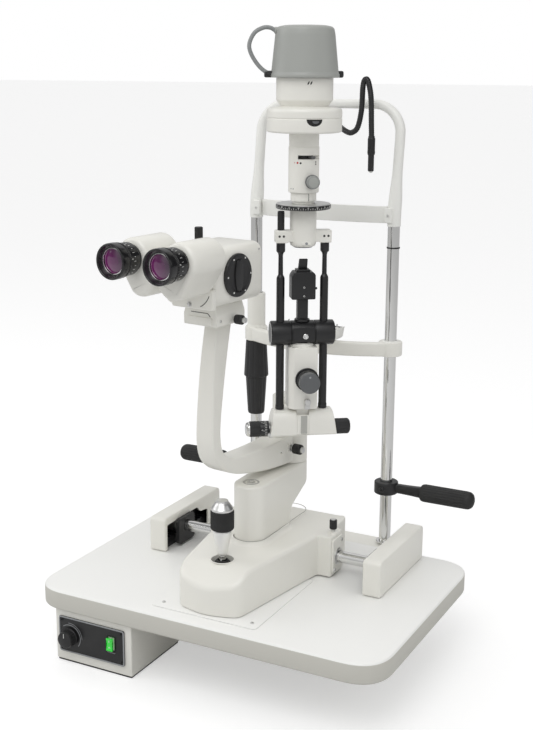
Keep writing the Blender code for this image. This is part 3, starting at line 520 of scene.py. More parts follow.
blackPaint = coated("blackAnodised", (0.010, 0.010, 0.011), (0.017, 0.017, 0.018), 0.30, 0.12, 60.0, 2600.0,
                    0.00002, 0.04, (0.14, 0.14, 0.14))
blackRubber = coated("blackRubber", (0.012, 0.012, 0.012), (0.022, 0.022, 0.022), 0.62, 0.15, 60.0, 1500.0,
                     0.00006, 0.12, (0.14, 0.14, 0.13))
# near-black for grooves, hollows, cavities and openings: painted shade where those recesses would fall dark
paintedShadeBlack = coated("paintedShadeBlack", (0.008, 0.008, 0.008), (0.015, 0.015, 0.015), 0.7, 0.1, 50.0, 900.0)
capGrey = coated("capGrey", (0.375, 0.385, 0.365), (0.345, 0.355, 0.335), 0.42, 0.12, 15.0, 1500.0, 0.00004, 0.12)
knobGrey = coated("knobGrey", (0.13, 0.135, 0.14), (0.10, 0.105, 0.11), 0.40, 0.14, 60.0, 1800.0, 0.00004)
knobPale = coated("knobPale", (0.30, 0.31, 0.30), (0.25, 0.26, 0.25), 0.40, 0.14, 60.0, 1800.0, 0.00004)
cableGrey = coated("cableGrey", (0.29, 0.30, 0.30), (0.25, 0.26, 0.26), 0.5, 0.1, 60.0, 1200.0, 0.00002)
indexGrey = coated("indexGrey", (0.46, 0.46, 0.43), (0.40, 0.40, 0.38), 0.38, 0.1, 80.0, 1500.0, 0.00002)
inkWhite = coated("inkWhite", (0.80, 0.80, 0.78), (0.72, 0.72, 0.70), 0.5, 0.05)
inkBlack = coated("inkBlack", (0.02, 0.02, 0.02), (0.03, 0.03, 0.03), 0.5, 0.05)
inkRed = coated("inkRed", (0.55, 0.02, 0.02), (0.45, 0.02, 0.02), 0.5, 0.05)
inkGrey = coated("inkGrey", (0.32, 0.33, 0.34), (0.28, 0.29, 0.30), 0.5, 0.05)
greenLens = coated("greenRocker", (0.02, 0.42, 0.03), (0.03, 0.60, 0.05), 0.22, 0.06, 260.0, 700.0, 0.00002,
                   Emission_Color=(0.03, 0.85, 0.06, 1), Emission_Strength=0.25, Coat_Weight=0.6)
chrome = plated("chromePlate", (0.78, 0.78, 0.77), 0.05, 0.05, (1.0, 1.0, 0.02))
chromeCross = plated("chromeAxle", (0.74, 0.74, 0.73), 0.10, 0.10, (0.02, 1.0, 1.0))
satinSteel = plated("satinSteel", (0.70, 0.70, 0.69), 0.24, 0.14, (1.0, 1.0, 1.0), 700.0, 0.00001)
silverDome = plated("turnedAluminium", (0.86, 0.86, 0.85), 0.28, 0.14, (0.05, 0.05, 1.0), 1600.0, 0.000006)
coilSteel = plated("laminatedSteel", (0.35, 0.30, 0.22), 0.35, 0.2, (0.02, 1.0, 1.0), 900.0, 0.00002)
lensPurple = coatedGlass("lensPurple", (0.012, 0.003, 0.020), (0.42, 0.02, 0.30))
blackGloss = coated("blackLacquer", (0.010, 0.010, 0.011), (0.014, 0.014, 0.015), 0.18, 0.06, 60.0, 2600.0, 0.00001)
lensDark = coatedGlass("lensDark", (0.02, 0.02, 0.035), (0.10, 0.06, 0.16))
mirrorFace = plated("frontMirror", (0.90, 0.90, 0.90), 0.01, 0.01, (1.0, 1.0, 1.0), 300.0, 0.0)
bulbGlass = coated("bulbGlass", (0.90, 0.90, 0.86), (0.86, 0.86, 0.80), 0.12, 0.04, 80.0, 400.0, 0.0,
                   Transmission_Weight=0.0)
print("finishes made")


# ---- camera and light

view = {"azimuth": 27.63, "drop": 13.9, "roll": 0.27, "lens": 59.13, "at": (0.7295, -1.3693, 0.713)}


def setCamera():
    a, e, r = (math.radians(view[key]) for key in ("azimuth", "drop", "roll"))
    back = Vector((math.sin(a) * math.cos(e), -math.cos(a) * math.cos(e), math.sin(e)))
    right = (-back).cross(Vector((0, 0, 1))).normalized()
    up = right.cross(-back)
    across = right * math.cos(r) + up * math.sin(r)
    above = up * math.cos(r) - right * math.sin(r)
    data = bpy.data.cameras.new("viewpoint")
    data.lens, data.sensor_width = view["lens"], 36.0
    camera = bpy.data.objects.new("viewpoint", data)
    bpy.context.collection.objects.link(camera)
    camera.matrix_world = Matrix((
        (across.x, above.x, back.x, view["at"][0]),
        (across.y, above.y, back.y, view["at"][1]),
        (across.z, above.z, back.z, view["at"][2]),
        (0, 0, 0, 1),
    ))
    bpy.context.scene.camera = camera


light = {
    "sky": 0.85,
    "horizon": 0.42,
    "panels": [  # name, position, size, power, aims at
        ("keyPanel", (0.3, -1.5, 2.3), 1.6, 17.0, (0, 0, 0.4)),
        ("leftPanel", (-1.9, -0.6, 1.5), 1.4, 9.0, (0, 0, 0.4)),
        ("rightPanel", (1.9, 0.4, 1.3), 1.0, 2.5, (0, 0, 0.4)),
    ],
}


def setLight():
    # a pale dome, brighter overhead, with two darker upright bands that give the chrome its edges
    world = bpy.data.worlds.new("studio")
    world.use_nodes = True
    tree = world.node_tree
    background = tree.nodes["Background"]
    spot = addNode(tree, "ShaderNodeTexCoord")
    split = addNode(tree, "ShaderNodeSeparateXYZ")
    tree.links.new(spot.outputs["Generated"], split.inputs["Vector"])
    height = addNode(tree, "ShaderNodeMapRange")
    height.inputs["From Min"].default_value, height.inputs["From Max"].default_value = -0.1, 0.8
    height.inputs["To Min"].default_value, height.inputs["To Max"].default_value = light["horizon"], light["sky"]
    tree.links.new(split.outputs["Z"], height.inputs["Value"])
    turn = addNode(tree, "ShaderNodeMath", operation="ARCTAN2")
    tree.links.new(split.outputs["Y"], turn.inputs[0])
    tree.links.new(split.outputs["X"], turn.inputs[1])
    bands = addNode(tree, "ShaderNodeValToRGB")
    ramp = bands.color_ramp
    ramp.elements[0].position, ramp.elements[0].color = 0.0, (0.35, 0.35, 0.35, 1)
    ramp.elements[1].position, ramp.elements[1].color = 1.0, (0.35, 0.35, 0.35, 1)
    for place, shade in ((0.12, 0.35), (0.16, 1.0), (0.44, 1.0), (0.47, 0.04), (0.71, 0.05), (0.74, 1.0), (0.88, 1.0),
                         (0.92, 0.35)):
        ramp.elements.new(place).color = (shade, shade, shade, 1)
    around01 = addNode(tree, "ShaderNodeMapRange")
    around01.inputs["From Min"].default_value, around01.inputs["From Max"].default_value = -math.pi, math.pi
    tree.links.new(turn.outputs["Value"], around01.inputs["Value"])
    tree.links.new(around01.outputs["Result"], bands.inputs["Fac"])
    glossyOnly = addNode(tree, "ShaderNodeLightPath")
    bandMix = addNode(tree, "ShaderNodeMix", data_type="RGBA")
    bandMix.inputs["A"].default_value = (1, 1, 1, 1)
    tree.links.new(glossyOnly.outputs["Is Glossy Ray"], bandMix.inputs["Factor"])
    tree.links.new(bands.outputs["Color"], bandMix.inputs["B"])
    backdropMix = addNode(tree, "ShaderNodeMix", data_type="FLOAT")
    backdropMix.inputs["B"].default_value = 1.0
    tree.links.new(glossyOnly.outputs["Is Camera Ray"], backdropMix.inputs["Factor"])
    tree.links.new(height.outputs["Result"], backdropMix.inputs["A"])
    tree.links.new(bandMix.outputs["Result"], background.inputs["Color"])
    tree.links.new(backdropMix.outputs["Result"], background.inputs["Strength"])
    bpy.context.scene.world = world
    bpy.context.scene.view_settings.view_transform = "Standard"
    for name, at, size, power, aim in light["panels"]:
        data = bpy.data.lights.new(name, "AREA")
        data.shape, data.size, data.energy = "SQUARE", size, power
        lamp = bpy.data.objects.new(name, data)
        lamp.location = at
        lamp.rotation_euler = (Vector(aim) - Vector(at)).to_track_quat("-Z", "Y").to_euler()
        bpy.context.collection.objects.link(lamp)


def setFloor():
    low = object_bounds()[0].z
    mesh = bpy.data.meshes.new("paleFloor")
    size = 60.0
    mesh.from_pydata([(-size, -size, low), (size, -size, low), (size, size, low), (-size, size, low)], [], [(0, 1, 2, 3)])
    floor = bpy.data.objects.new("paleFloor", mesh)
    made, tree, shader = newMaterial("paleFloor", Base_Color=(0.66, 0.66, 0.66, 1), Roughness=0.8,
                                     Emission_Color=(1, 1, 1, 1))
    seen = addNode(tree, "ShaderNodeLightPath")
    glow = addNode(tree, "ShaderNodeMath", operation="MULTIPLY")
    glow.inputs[1].default_value = 0.42
    tree.links.new(seen.outputs["Is Camera Ray"], glow.inputs[0])
    tree.links.new(glow.outputs["Value"], shader.inputs["Emission Strength"])
    mesh.materials.append(made)
    bpy.context.collection.objects.link(floor)


setCamera()
setLight()
setFloor()
print("camera, light and floor set")


# ---- board and glide plate

board = {"corner": 0.040, "edge": 0.0035, "glide": (0.078, -0.152, 0.020), "glideScrews": (0.066, -0.138)}


def makeBoard():
    low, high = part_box("table_top")
    outline = softened(rectangle(low[0], low[1], high[0], high[1]), board["corner"] * 1.25, 18, True)
    shell = slab(outline, low[2] - deckTop, 0.0, deck, None, board["edge"])
    points, faces = shell
    # faces below the top rounding take the darker side colour: band tone plus painted shade on the sides
    middle = np.array([points[face].mean(axis=0)[2] for face in faces])
    band = (middle < deckTop - board["edge"] * 0.7)
    top = [face for face, side in zip(faces, band) if not side]
    side = [face for face, side in zip(faces, band) if side]
    made = piece("boardSlab", "root", [(boardFace, (points, top + side))], ["table_top"])
    made.data.materials.append(boardSideShaded)
    made.data.polygons.foreach_set("material_index", [0] * len(top) + [1] * len(side))
    half, front, rear = board["glide"]
    plate = slab(rectangle(-half, front, half, rear), 0.0002, 0.0011, deck, 0.006, 0.0003)
    screws = [(satinSteel, screwHead(step(deck, x, board["glideScrews"][1], 0.0011), 0.0024))
              for x in (-board["glideScrews"][0], board["glideScrews"][0])]
    piece("glidePlate", "root", [(boardFace, plate), *screws])


makeBoard()


# ---- power box under the board

box = {"wall": 0.003, "skirt": 0.0028, "panelEdge": 0.0012, "knobRadius": 0.0130}


def makePowerBox():
    low, high = (np.array(v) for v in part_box("power_box"))
    low[2], high[2] = low[2] - deckTop, high[2] - deckTop
    wall = box["wall"]
    outer = slab(rectangle(low[0], low[1], high[0], high[1]), low[2] + box["skirt"], high[2], deck, 0.002, 0.0006)
    inner = slab(rectangle(low[0] + wall, low[1] + wall, high[0] - wall, high[1] - wall), low[2] + box["skirt"] + wall,
                 high[2] + 0.01, deck, 0.001, 0.0002)
    inset = 0.0012
    skirt = slab(rectangle(low[0] + inset, low[1] + inset, high[0] - inset, high[1] - inset), low[2],
                 low[2] + box["skirt"] - 0.0001, deck, 0.002, 0.0004)
    piece("powerCase", "root", [(enamel, carved(outer, [inner])), (blackRubber, skirt)], ["power_box"])

    pLow, pHigh = (np.array(v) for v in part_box("power_panel"))
    pLow[2], pHigh[2] = pLow[2] - deckTop, pHigh[2] - deckTop
    rocker = joints["power_switch_rock"]["pos_m"]
    knob = joints["brightness_turn"]["pos_m"]
    face = step(deck, 0, pHigh[1], 0, "-Y")
    thick = pHigh[1] - pLow[1]
    plate = slab(rectangle(pLow[0], pLow[2], pHigh[0], pHigh[2]), 0, thick - 0.0007, face, 0.003, 0.0004)
    window = slab(rectangle(rocker[0] - 0.0056, rocker[2] - deckTop - 0.0098, rocker[0] + 0.0056, rocker[2] - deckTop + 0.0098),
                  -0.01, 0.01, face, 0.0004, 0.0002)
    rim = hoop(rectangle(pLow[0] + 0.0008, pLow[2] + 0.0008, pHigh[0] - 0.0008, pHigh[2] - 0.0008),
               [(0.0008, thick - 0.0012), (0.0008, thick), (-0.0010, thick), (-0.0010, thick - 0.0012)], face, 0.003)
    bezel = hoop(rectangle(rocker[0] - 0.0058, rocker[2] - deckTop - 0.0100, rocker[0] + 0.0058, rocker[2] - deckTop + 0.0100),
                 [(0.0011, thick - 0.0012), (0.0011, thick + 0.0002), (0.0, thick + 0.0002), (0.0, thick - 0.0012)], face, 0.0006)
    arcPlace = step(deck, knob[0], pLow[1] + 0.0008, knob[2] - deckTop, "-Y")
    arcShells = []
    for radius, width, start, end in ((0.0172, 0.0009, -40, 128), (0.0200, 0.0006, 0, 96)):
        a = np.radians(np.linspace(start, end, 40))
        ring = np.concatenate([
            np.stack([(radius + width / 2) * np.cos(a), (radius + width / 2) * np.sin(a)], axis=1),
            np.stack([(radius - width / 2) * np.cos(a[::-1]), (radius - width / 2) * np.sin(a[::-1])], axis=1),
        ])
        arcShells.append((inkGrey, slab(ring, 0.0, 0.00025, arcPlace, 0.00002, 0.00002, 1)))
    marks = [(inkGrey, slab(rectangle(rocker[0] - 0.0065, rocker[2] - deckTop - 0.0135, rocker[0] + 0.0065,
                                      rocker[2] - deckTop - 0.0128), thick - 0.0008, thick - 0.0005, face, 0.0001, 0.0001))]
    screws = [(blackPaint, screwHead(step(face, x, z, thick - 0.0007), 0.0019))
              for x in (pLow[0] + 0.005, pHigh[0] - 0.005) for z in (pLow[2] + 0.005, pHigh[2] - 0.005)]
    piece("powerPanel", "root",
          [(blackPaint, carved(plate, [window])), (inkGrey, rim), (blackPlastic, bezel), *arcShells, *marks, *screws],
          ["power_panel"])

    turnAt = step(deck, knob[0], knob[1], knob[2] - deckTop, "-Y")
    r = box["knobRadius"]
    body = lathe([(r, 0.0002), (r, 0.0012), (r - 0.0006, 0.0018), (r - 0.0012, 0.0090), (r - 0.0022, 0.0122),
                  (r - 0.0045, 0.0134)], turnAt, 144, 0.0005,
                 {"low": 0.0017, "high": 0.0092, "depth": 0.0006, "count": 24, "power": 0.6})
    dial = slab(rectangle(-0.0004, 0.0040, 0.0004, 0.0098), 0.0128, 0.0136, turnAt, 0.0002, 0.0001)
    piece("brightnessKnob", "brightness_knob", [(blackPlastic, body), (inkWhite, dial)],
          ["brightness_knob"])

    rock = step(deck, rocker[0], rocker[1], rocker[2] - deckTop, "X")
    y = np.linspace(-0.0088, 0.0088, 15)
    bulge = -0.0022 - 0.0016 * (y / 0.0088) ** 2
    outline = np.concatenate([np.stack([bulge, y], axis=1), [[-0.0006, 0.0088], [-0.0006, -0.0088]]])
    cap = slab(outline, -0.0049, 0.0049, rock, 0.0002, 0.0005)
    bar = blockShell((-0.0035, 0.0034, -0.0004), (-0.0027, 0.0062, 0.0004), rock, 0.0001)
    ring = lathe([(0.0014, -0.0004), (0.0014, 0.0), (0.0009, 0.0), (0.0009, -0.0004)],
                 step(deck, rocker[0], rocker[1] - 0.0028, rocker[2] - deckTop - 0.0045, "-Y"), 24, 0.0001, None, True)
    piece("rockerSwitch", "power_switch", [(greenLens, cap), (inkWhite, bar), (inkWhite, ring)], ["power_switch"])


makePowerBox()
print("board and power box made")


# ---- rails and axle

rail = {"roof": 0.008, "edge": 0.0026, "wall": 0.006}


def makeRail(word, side):
    low, high = (np.array(v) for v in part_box(f"rail_cover_{word}"))
    top = high[2] - deckTop
    growing = step(deck, 0, 0, 0, "X")
    first, last = low[0], high[0]
    front, rear, wall = low[1], high[1], rail["wall"]
    outline = [(front, 0.0003), (rear, 0.0003), (rear, top), (front, top)]
    outer = slab(outline, first, last, growing, [0.001, 0.001, rail["roof"], rail["roof"]], rail["edge"], 8)
    inside, outside = sorted((side * (abs(first if side > 0 else last) + 0.0022), side * (abs(last if side > 0 else first) - 0.004)))
    cavity = slab(rectangle(front + wall, -0.01, rear - wall, top - wall), inside, outside, growing, 0.002, 0.0005)
    edgeX = first if side > 0 else last
    mouthOutline = [(front + wall, -0.01), (0.128, -0.01), (0.128, 0.028), (0.104, 0.031), (0.098, 0.040), (front + wall, 0.040)]
    mouth = slab(mouthOutline, min(edgeX - 0.004 * 1, edgeX + 0.004), max(edgeX - 0.004, edgeX + 0.004), growing,
                 [0.0005, 0.0005, 0.004, 0.006, 0.005, 0.003], 0.0002, 5)
    shell = carved(outer, [cavity, mouth])
    # a dark sheet inside the cover's cavity: painted shade of the hollow
    cavityShadeSheet = slab(rectangle(front + wall + 0.0004, 0.0006, rear - wall - 0.0004, top - wall - 0.0004),
                 min(outside if side > 0 else inside, (outside if side > 0 else inside) - side * 0.0008),
                 max(outside if side > 0 else inside, (outside if side > 0 else inside) - side * 0.0008), growing, 0.002, 0.0002)
    piece(f"railCover{word.title()}", "root", [(enamel, shell), (paintedShadeBlack, cavityShadeSheet)], [f"rail_cover_{word}"])


def makeAxle():
    where = step(deck, *fkCentre("axle", deckTop), "X")
    end = (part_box("axle")[1][0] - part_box("axle")[0][0]) / 2
    flange = end - 0.013
    rod = lathe([(0.0082, -flange), (0.0082, flange)], where, 64, 0.0001)
    wheels = []
    for s in (-1, 1):
        wheels.append((satinSteel, lathe([(0.0117, s * end), (0.0117, s * flange), (0.0138, s * flange),
                                          (0.0138, s * (flange - 0.0025)), (0.0084, s * (flange - 0.0025))],
                                         where, 136, 0.0004,
                                         {"low": min(s * end, s * flange) + 0.0008, "high": max(s * end, s * flange) - 0.0008,
                                          "depth": 0.0009, "count": 34})))
    # dark rings standing just proud of the rod where grooves would be: painted shade
    grooveShadeRings = [(paintedShadeBlack, lathe([(0.00826, x - 0.0003), (0.00832, x - 0.0003), (0.00832, x + 0.0003), (0.00826, x + 0.0003)],
                                  where, 48, 0.00005)) for x in (-0.1442, 0.1442)]
    piece("axleRod", "axle", [(chromeCross, rod), *wheels, *grooveShadeRings], ["axle"])


def fkCentre(node, zero=0.0):
    low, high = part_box(node)
    return [(a + b) / 2 - (zero if k == 2 else 0.0) for k, (a, b) in enumerate(zip(low, high))]


makeRail("left", -1)
makeRail("right", 1)
makeAxle()
for word in ("left", "right"):
    frame["nodes"][f"axle_shield_{word}"].data.materials[0] = blackPlastic
    frame["nodes"][f"rack_{word}"].data.materials[0] = blackPaint
print("rails made")


# ---- joystick base

base = {"foot": 0.002, "top": 0.060, "crest": -0.118, "slope": 0.75, "edge": 0.0055, "well": 0.0150}


def baseHeight(x, y):
    # level deck that falls away over the nose, with the corner between them eased by a soft minimum
    fall = base["top"] + (y - base["crest"]) * base["slope"]
    ease = 0.004
    return -ease * np.log(np.exp(-fall / ease) + math.exp(-base["top"] / ease))


def makeBase():
    half = [(0.0, -0.1470), (0.0170, -0.1448), (0.0455, -0.1365), (0.0735, 0.030), (0.0755, 0.036), (0.0950, 0.036),
            (0.0950, 0.074), (0.0830, 0.078), (0.0810, 0.117), (0.0760, 0.124)]
    corners = half[1:] + [(-x, y) for x, y in half[:0:-1]] + [half[0]]
    radii = {(0.0455, -0.1365): 0.012, (0.0170, -0.1448): 0.012, (0.0, -0.1470): 0.012, (0.0735, 0.030): 0.010,
             (0.0755, 0.036): 0.002, (0.0950, 0.036): 0.004, (0.0950, 0.074): 0.004, (0.0830, 0.078): 0.004,
             (0.0810, 0.117): 0.006, (0.0760, 0.124): 0.004}
    reach = [radii.get((abs(x), y), 0.002) for x, y in corners]
    outline = anticlockwise(softened(corners, reach, 8, True))
    even = np.vstack([outline, outline[:1]])
    run = np.concatenate([[0], np.cumsum(np.linalg.norm(np.diff(even, axis=0), axis=1))])
    spread = np.linspace(0, run[-1], 420, endpoint=False)
    outline = np.stack([np.interp(spread, run, even[:, k]) for k in (0, 1)], axis=1)
    normal = outward(outline)
    t = np.linspace(0, math.pi / 2, 9)
    away = np.clip((np.abs(outline[:, 0]) - 0.068) / 0.008, 0, 1)[None]
    rounding = base["edge"] - 0.0033 * away * away * (3 - 2 * away)
    small = 0.0008
    inset = np.concatenate([np.repeat(small * (1 - np.sin(t[::2]))[:, None], len(outline), axis=1),
                            rounding * (1 - np.sin(t[::-1]))[:, None]])
    share = np.concatenate([np.zeros(5), 1 - np.cos(t[::-1])])
    rise = np.concatenate([small * (1 - np.cos(t[::2])), np.zeros(9)])
    flat = outline[None] - normal[None] * inset[..., None]
    top = baseHeight(flat[..., 0], flat[..., 1])
    z = np.where(np.arange(14)[:, None] < 5, base["foot"] + rise[:, None], top - rounding * share[:, None])
    side = np.concatenate([flat, z[..., None]], axis=-1)
    centre = np.array([0.0, 0.050])
    k = np.linspace(0, 1, 34)[1:-1]
    roof = flat[-1][None] * (1 - k[:, None, None]) + centre * k[:, None, None]
    roofZ = baseHeight(roof[..., 0], roof[..., 1])
    grid = np.concatenate([side, np.concatenate([roof, roofZ[..., None]], axis=-1)])
    shell = skin(grid, deck)
    pivot = joints["joystick_tilt_side"]["pos_m"]
    well = lathe([(base["well"], 0.036), (base["well"], 0.075)], step(deck, pivot[0], pivot[1], 0), 64, 0.0001)
    shell = carved(shell, [well])
    foot = np.vstack([columnOutline(0.0)[:41], [[0.023, 0.049], [-0.023, 0.049]]])
    collar = hoop(foot, [(0.0012, 0.0590), (0.0095, 0.0590), (0.0092, 0.0601), (0.0060, 0.0606), (0.0038, 0.0620),
                         (0.0026, 0.0640), (0.0022, 0.0655), (0.0012, 0.0655)], deck, 0.006, 4, 0.0010)
    wellRim = lathe([(0.0151, 0.0590), (0.0168, 0.0598), (0.0168, 0.0603), (0.0151, 0.0606), (0.0146, 0.0598)],
                    step(deck, pivot[0], pivot[1], 0), 64, 0.0003, None, True)
    piece("baseHousing", "base", [(enamel, shell), (enamel, collar), (enamel, wellRim)], ["base_housing"], 28)

    axle = fkCentre("axle", deckTop)
    fittings = []
    for s in (-1, 1):
        outside = step(deck, s * 0.0950, 0, 0, "X" if s > 0 else "-X")
        plateOutline = [(s * 0.0390, 0.0060), (s * 0.0715, 0.0060), (s * 0.0715, 0.0550), (s * 0.0390, 0.0550)]
        plate = slab(plateOutline, -0.0002, 0.0026, outside, 0.004, 0.0008)
        bore = lathe([(0.0090, -0.01), (0.0090, 0.01)], step(outside, s * axle[1], axle[2], 0), 48, 0.0001)
        fittings.append((enamel, carved(plate, [bore])))
        fittings.append((satinSteel, lathe([(0.0086, 0.0020), (0.0120, 0.0020), (0.0120, 0.0036), (0.0108, 0.0044), (0.0086, 0.0044)],
                                           step(outside, s * axle[1], axle[2], 0), 48, 0.0003, None, True)))
        for y, z in ((0.0665, 0.0480), (0.0430, 0.0110)):
            fittings.append((satinSteel, screwHead(step(outside, s * y, z, 0.0026), 0.0026)))
    piece("baseEndPlates", "base", fittings)

    lock = joints["base_lock_turn"]["pos_m"]
    where = step(deck, lock[0], lock[1], 0.0603)
    boss = lathe([(0.0068, -0.0020), (0.0064, 0.0020), (0.0040, 0.0026)], where, 40, 0.0006)
    piece("lockBoss", "base", [(enamel, boss)])
    stem = lathe([(0.0026, 0.0027), (0.0026, 0.0062)], where, 32, 0.0001)
    grip = lathe([(0.0044, 0.0058), (0.0052, 0.0066), (0.0052, 0.0180), (0.0044, 0.0192)], where, 96, 0.0004,
                 {"low": 0.0066, "high": 0.0181, "depth": 0.0006, "count": 16})
    tip = lathe([(0.0034, 0.0190), (0.0034, 0.0197), (0.0026, 0.0200)], where, 32, 0.0002)
    piece("baseLockKnob", "base_lock", [(satinSteel, stem), (blackPlastic, grip), (satinSteel, tip)],
          ["base_lock_knob"])


def columnOutline(grow):
    # two round ends, one about the elevating shaft and one about the swing axis
    low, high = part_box("column")
    front = np.radians(np.linspace(180, 360, 41))
    rear = np.radians(np.linspace(0, 180, 41))
    r1, r2 = 0.023 + grow, 0.0248 + grow
    return np.concatenate([
        np.stack([r1 * np.cos(front), low[1] + 0.023 + r1 * np.sin(front)], axis=1),
        np.stack([r2 * np.cos(rear), swingAxis[1] + r2 * np.sin(rear)], axis=1),
    ])


stick = {"neck": 0.0050, "cone": (0.0066, 0.0126), "band": 0.0155}


def makeJoystick():
    pivot = joints["joystick_tilt_side"]["pos_m"]
    where = step(deck, pivot[0], pivot[1], pivot[2] - deckTop)
    rise = np.array([(0.0142, 0.0005), (0.0138, 0.0030), (0.0120, 0.0036), (0.0124, 0.0056), (0.0102, 0.0064), (0.0106, 0.0084),
                     (0.0084, 0.0094), (0.0084, 0.0112), (0.0064, 0.0120), (0.0062, 0.0060), (0.0132, -0.0005)])
    boot = lathe(rise, where, 64, 0.0006, None, True)
    # a dark dish in the well under the boot: painted shade of the well
    wellShadeDish = lathe([(0.0148, -0.0112), (0.0148, -0.0105), (0.0100, -0.0100)], where, 48, 0.0002)
    piece("joystickBoot", "base", [(blackRubber, boot), (paintedShadeBlack, wellShadeDish)])
    low, top = stick["cone"]
    neck = lathe([(stick["neck"], -0.0080), (stick["neck"], 0.0165), (0.0058, 0.0175), (0.0058, 0.0195)], where, 48, 0.0004)
    foot = lathe([(0.002, -0.0478), (0.0062, -0.0458), (0.0084, -0.0402), (0.0074, -0.0355), (0.0050, -0.0325), (0.0050, -0.0070)],
                 where, 32, 0.003)
    cone = lathe([(low - 0.0010, 0.0188), (low, 0.0196), (low + 0.0012, 0.0265), (top - 0.0006, 0.0480), (top, 0.0512),
                  (top, 0.0530), (top - 0.0008, 0.0538)], where, 64, 0.0010)
    pin = screwHead(step(where, 0.0008, -stick["neck"], 0.0128, "-Y"), 0.0013)
    piece("joystickLever", "joystick", [(chrome, neck), (satinSteel, foot), (silverDome, cone), (satinSteel, pin)],
          ["joystick_lever"])
    r = stick["band"]
    band = lathe([(r - 0.0010, 0.0548), (r, 0.0560), (r, 0.0792), (r - 0.0010, 0.0804)], where, 240, 0.0006,
                 {"low": 0.0558, "high": 0.0794, "depth": 0.0004, "count": 60})
    dome = lathe([(0.0140, 0.0804), (0.0146, 0.0810), (0.0146, 0.0834), (0.0136, 0.0846), (0.0108, 0.0890), (0.0086, 0.0914),
                  (0.0082, 0.0922), (0.0080, 0.0940), (0.0050, 0.0943)], where, 64, 0.0012)
    piece("joystickGrip", "joystick_grip", [(blackRubber, band), (silverDome, dome)], ["joystick_grip"])


makeBase()
makeJoystick()


# ---- column

column = {"edge": 0.0032, "cap": 0.0104}


def makeColumn():
    low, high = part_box("column")
    bottom, top = low[2] - deckTop, high[2] - deckTop
    body = slab(columnOutline(0.0), bottom, top, deck, None, column["edge"])
    profile = [(0.052, 0.03), (0.052, 0.086), (0.126, 0.1215), (0.150, 0.10), (0.150, 0.03)]
    slope = slab(profile, -0.05, 0.05, step(deck, 0, 0, 0, "X"), [0.001, 0.012, 0.004, 0.001, 0.001], 0.0001, 6)
    shaftY = low[1] + 0.023
    shaftBore = lathe([(0.0143, 0.04), (0.0143, 0.130)], step(deck, 0, shaftY, 0), 48, 0.0001)
    spindleBore = lathe([(0.0143, 0.1222), (0.0143, 0.16)], step(deck, 0, swingAxis[1], 0), 48, 0.0001)
    shell = carved(body, [slope, shaftBore, spindleBore])
    at = step(deck, 0, shaftY, top)
    ring = lathe([(column["cap"] + 0.0008, -0.0010), (column["cap"] + 0.0008, 0.0005), (column["cap"], 0.0008),
                  (0.0088, 0.0008), (0.0084, -0.0002), (0.0060, -0.0004)], at, 56, 0.0003)
    bolt = lathe([(0.0058, -0.0006), (0.0058, 0.0004), (0.0050, 0.0008), (0.0027, 0.0009), (0.0025, -0.0004), (0.0010, -0.0004)],
                 at, 40, 0.0002)
    # a grey band where the column meets its seat: painted shade of the joint line
    seam = hoop(columnOutline(0.0), [(0.0001, bottom + 0.0040), (0.0001, bottom + 0.0046), (-0.0010, bottom + 0.0046),
                                     (-0.0010, bottom + 0.0040)], deck, 0.0001, 1, 0.0001)
    piece("liftColumn", "lift", [(enamel, shell), (indexGrey, ring), (satinSteel, bolt), (indexGrey, seam)],
          ["column"])
    frame["nodes"]["elevating_shaft"].data.materials[0] = chrome
    frame["nodes"]["swing_spindle"].data.materials[0] = chrome
    frame["nodes"]["joystick_gimbal"].data.materials[0] = satinSteel


makeColumn()
print("base, joystick and column made")


# ---- microscope arm

arm = {"corner": 0.0030, "hub": 0.0248}
armStations = [  # y and z of the outer edge, y and z of the inner edge, half width
    (-0.004, 0.1445, -0.004, 0.1864, 0.0170), (-0.040, 0.1458, -0.040, 0.1850, 0.0168),
    (-0.080, 0.1492, -0.080, 0.1835, 0.0162), (-0.115, 0.1550, -0.118, 0.1838, 0.0155),
    (-0.150, 0.1635, -0.150, 0.1862, 0.0150), (-0.176, 0.1755, -0.168, 0.1925, 0.0146),
    (-0.192, 0.1910, -0.178, 0.2040, 0.0143), (-0.1985, 0.2120, -0.1815, 0.2200, 0.0141),
    (-0.199, 0.2400, -0.1805, 0.2430, 0.0137), (-0.196, 0.2850, -0.172, 0.2900, 0.0126),
    (-0.191, 0.3300, -0.162, 0.3340, 0.0113), (-0.184, 0.3717, -0.152, 0.3717, 0.0100),
]


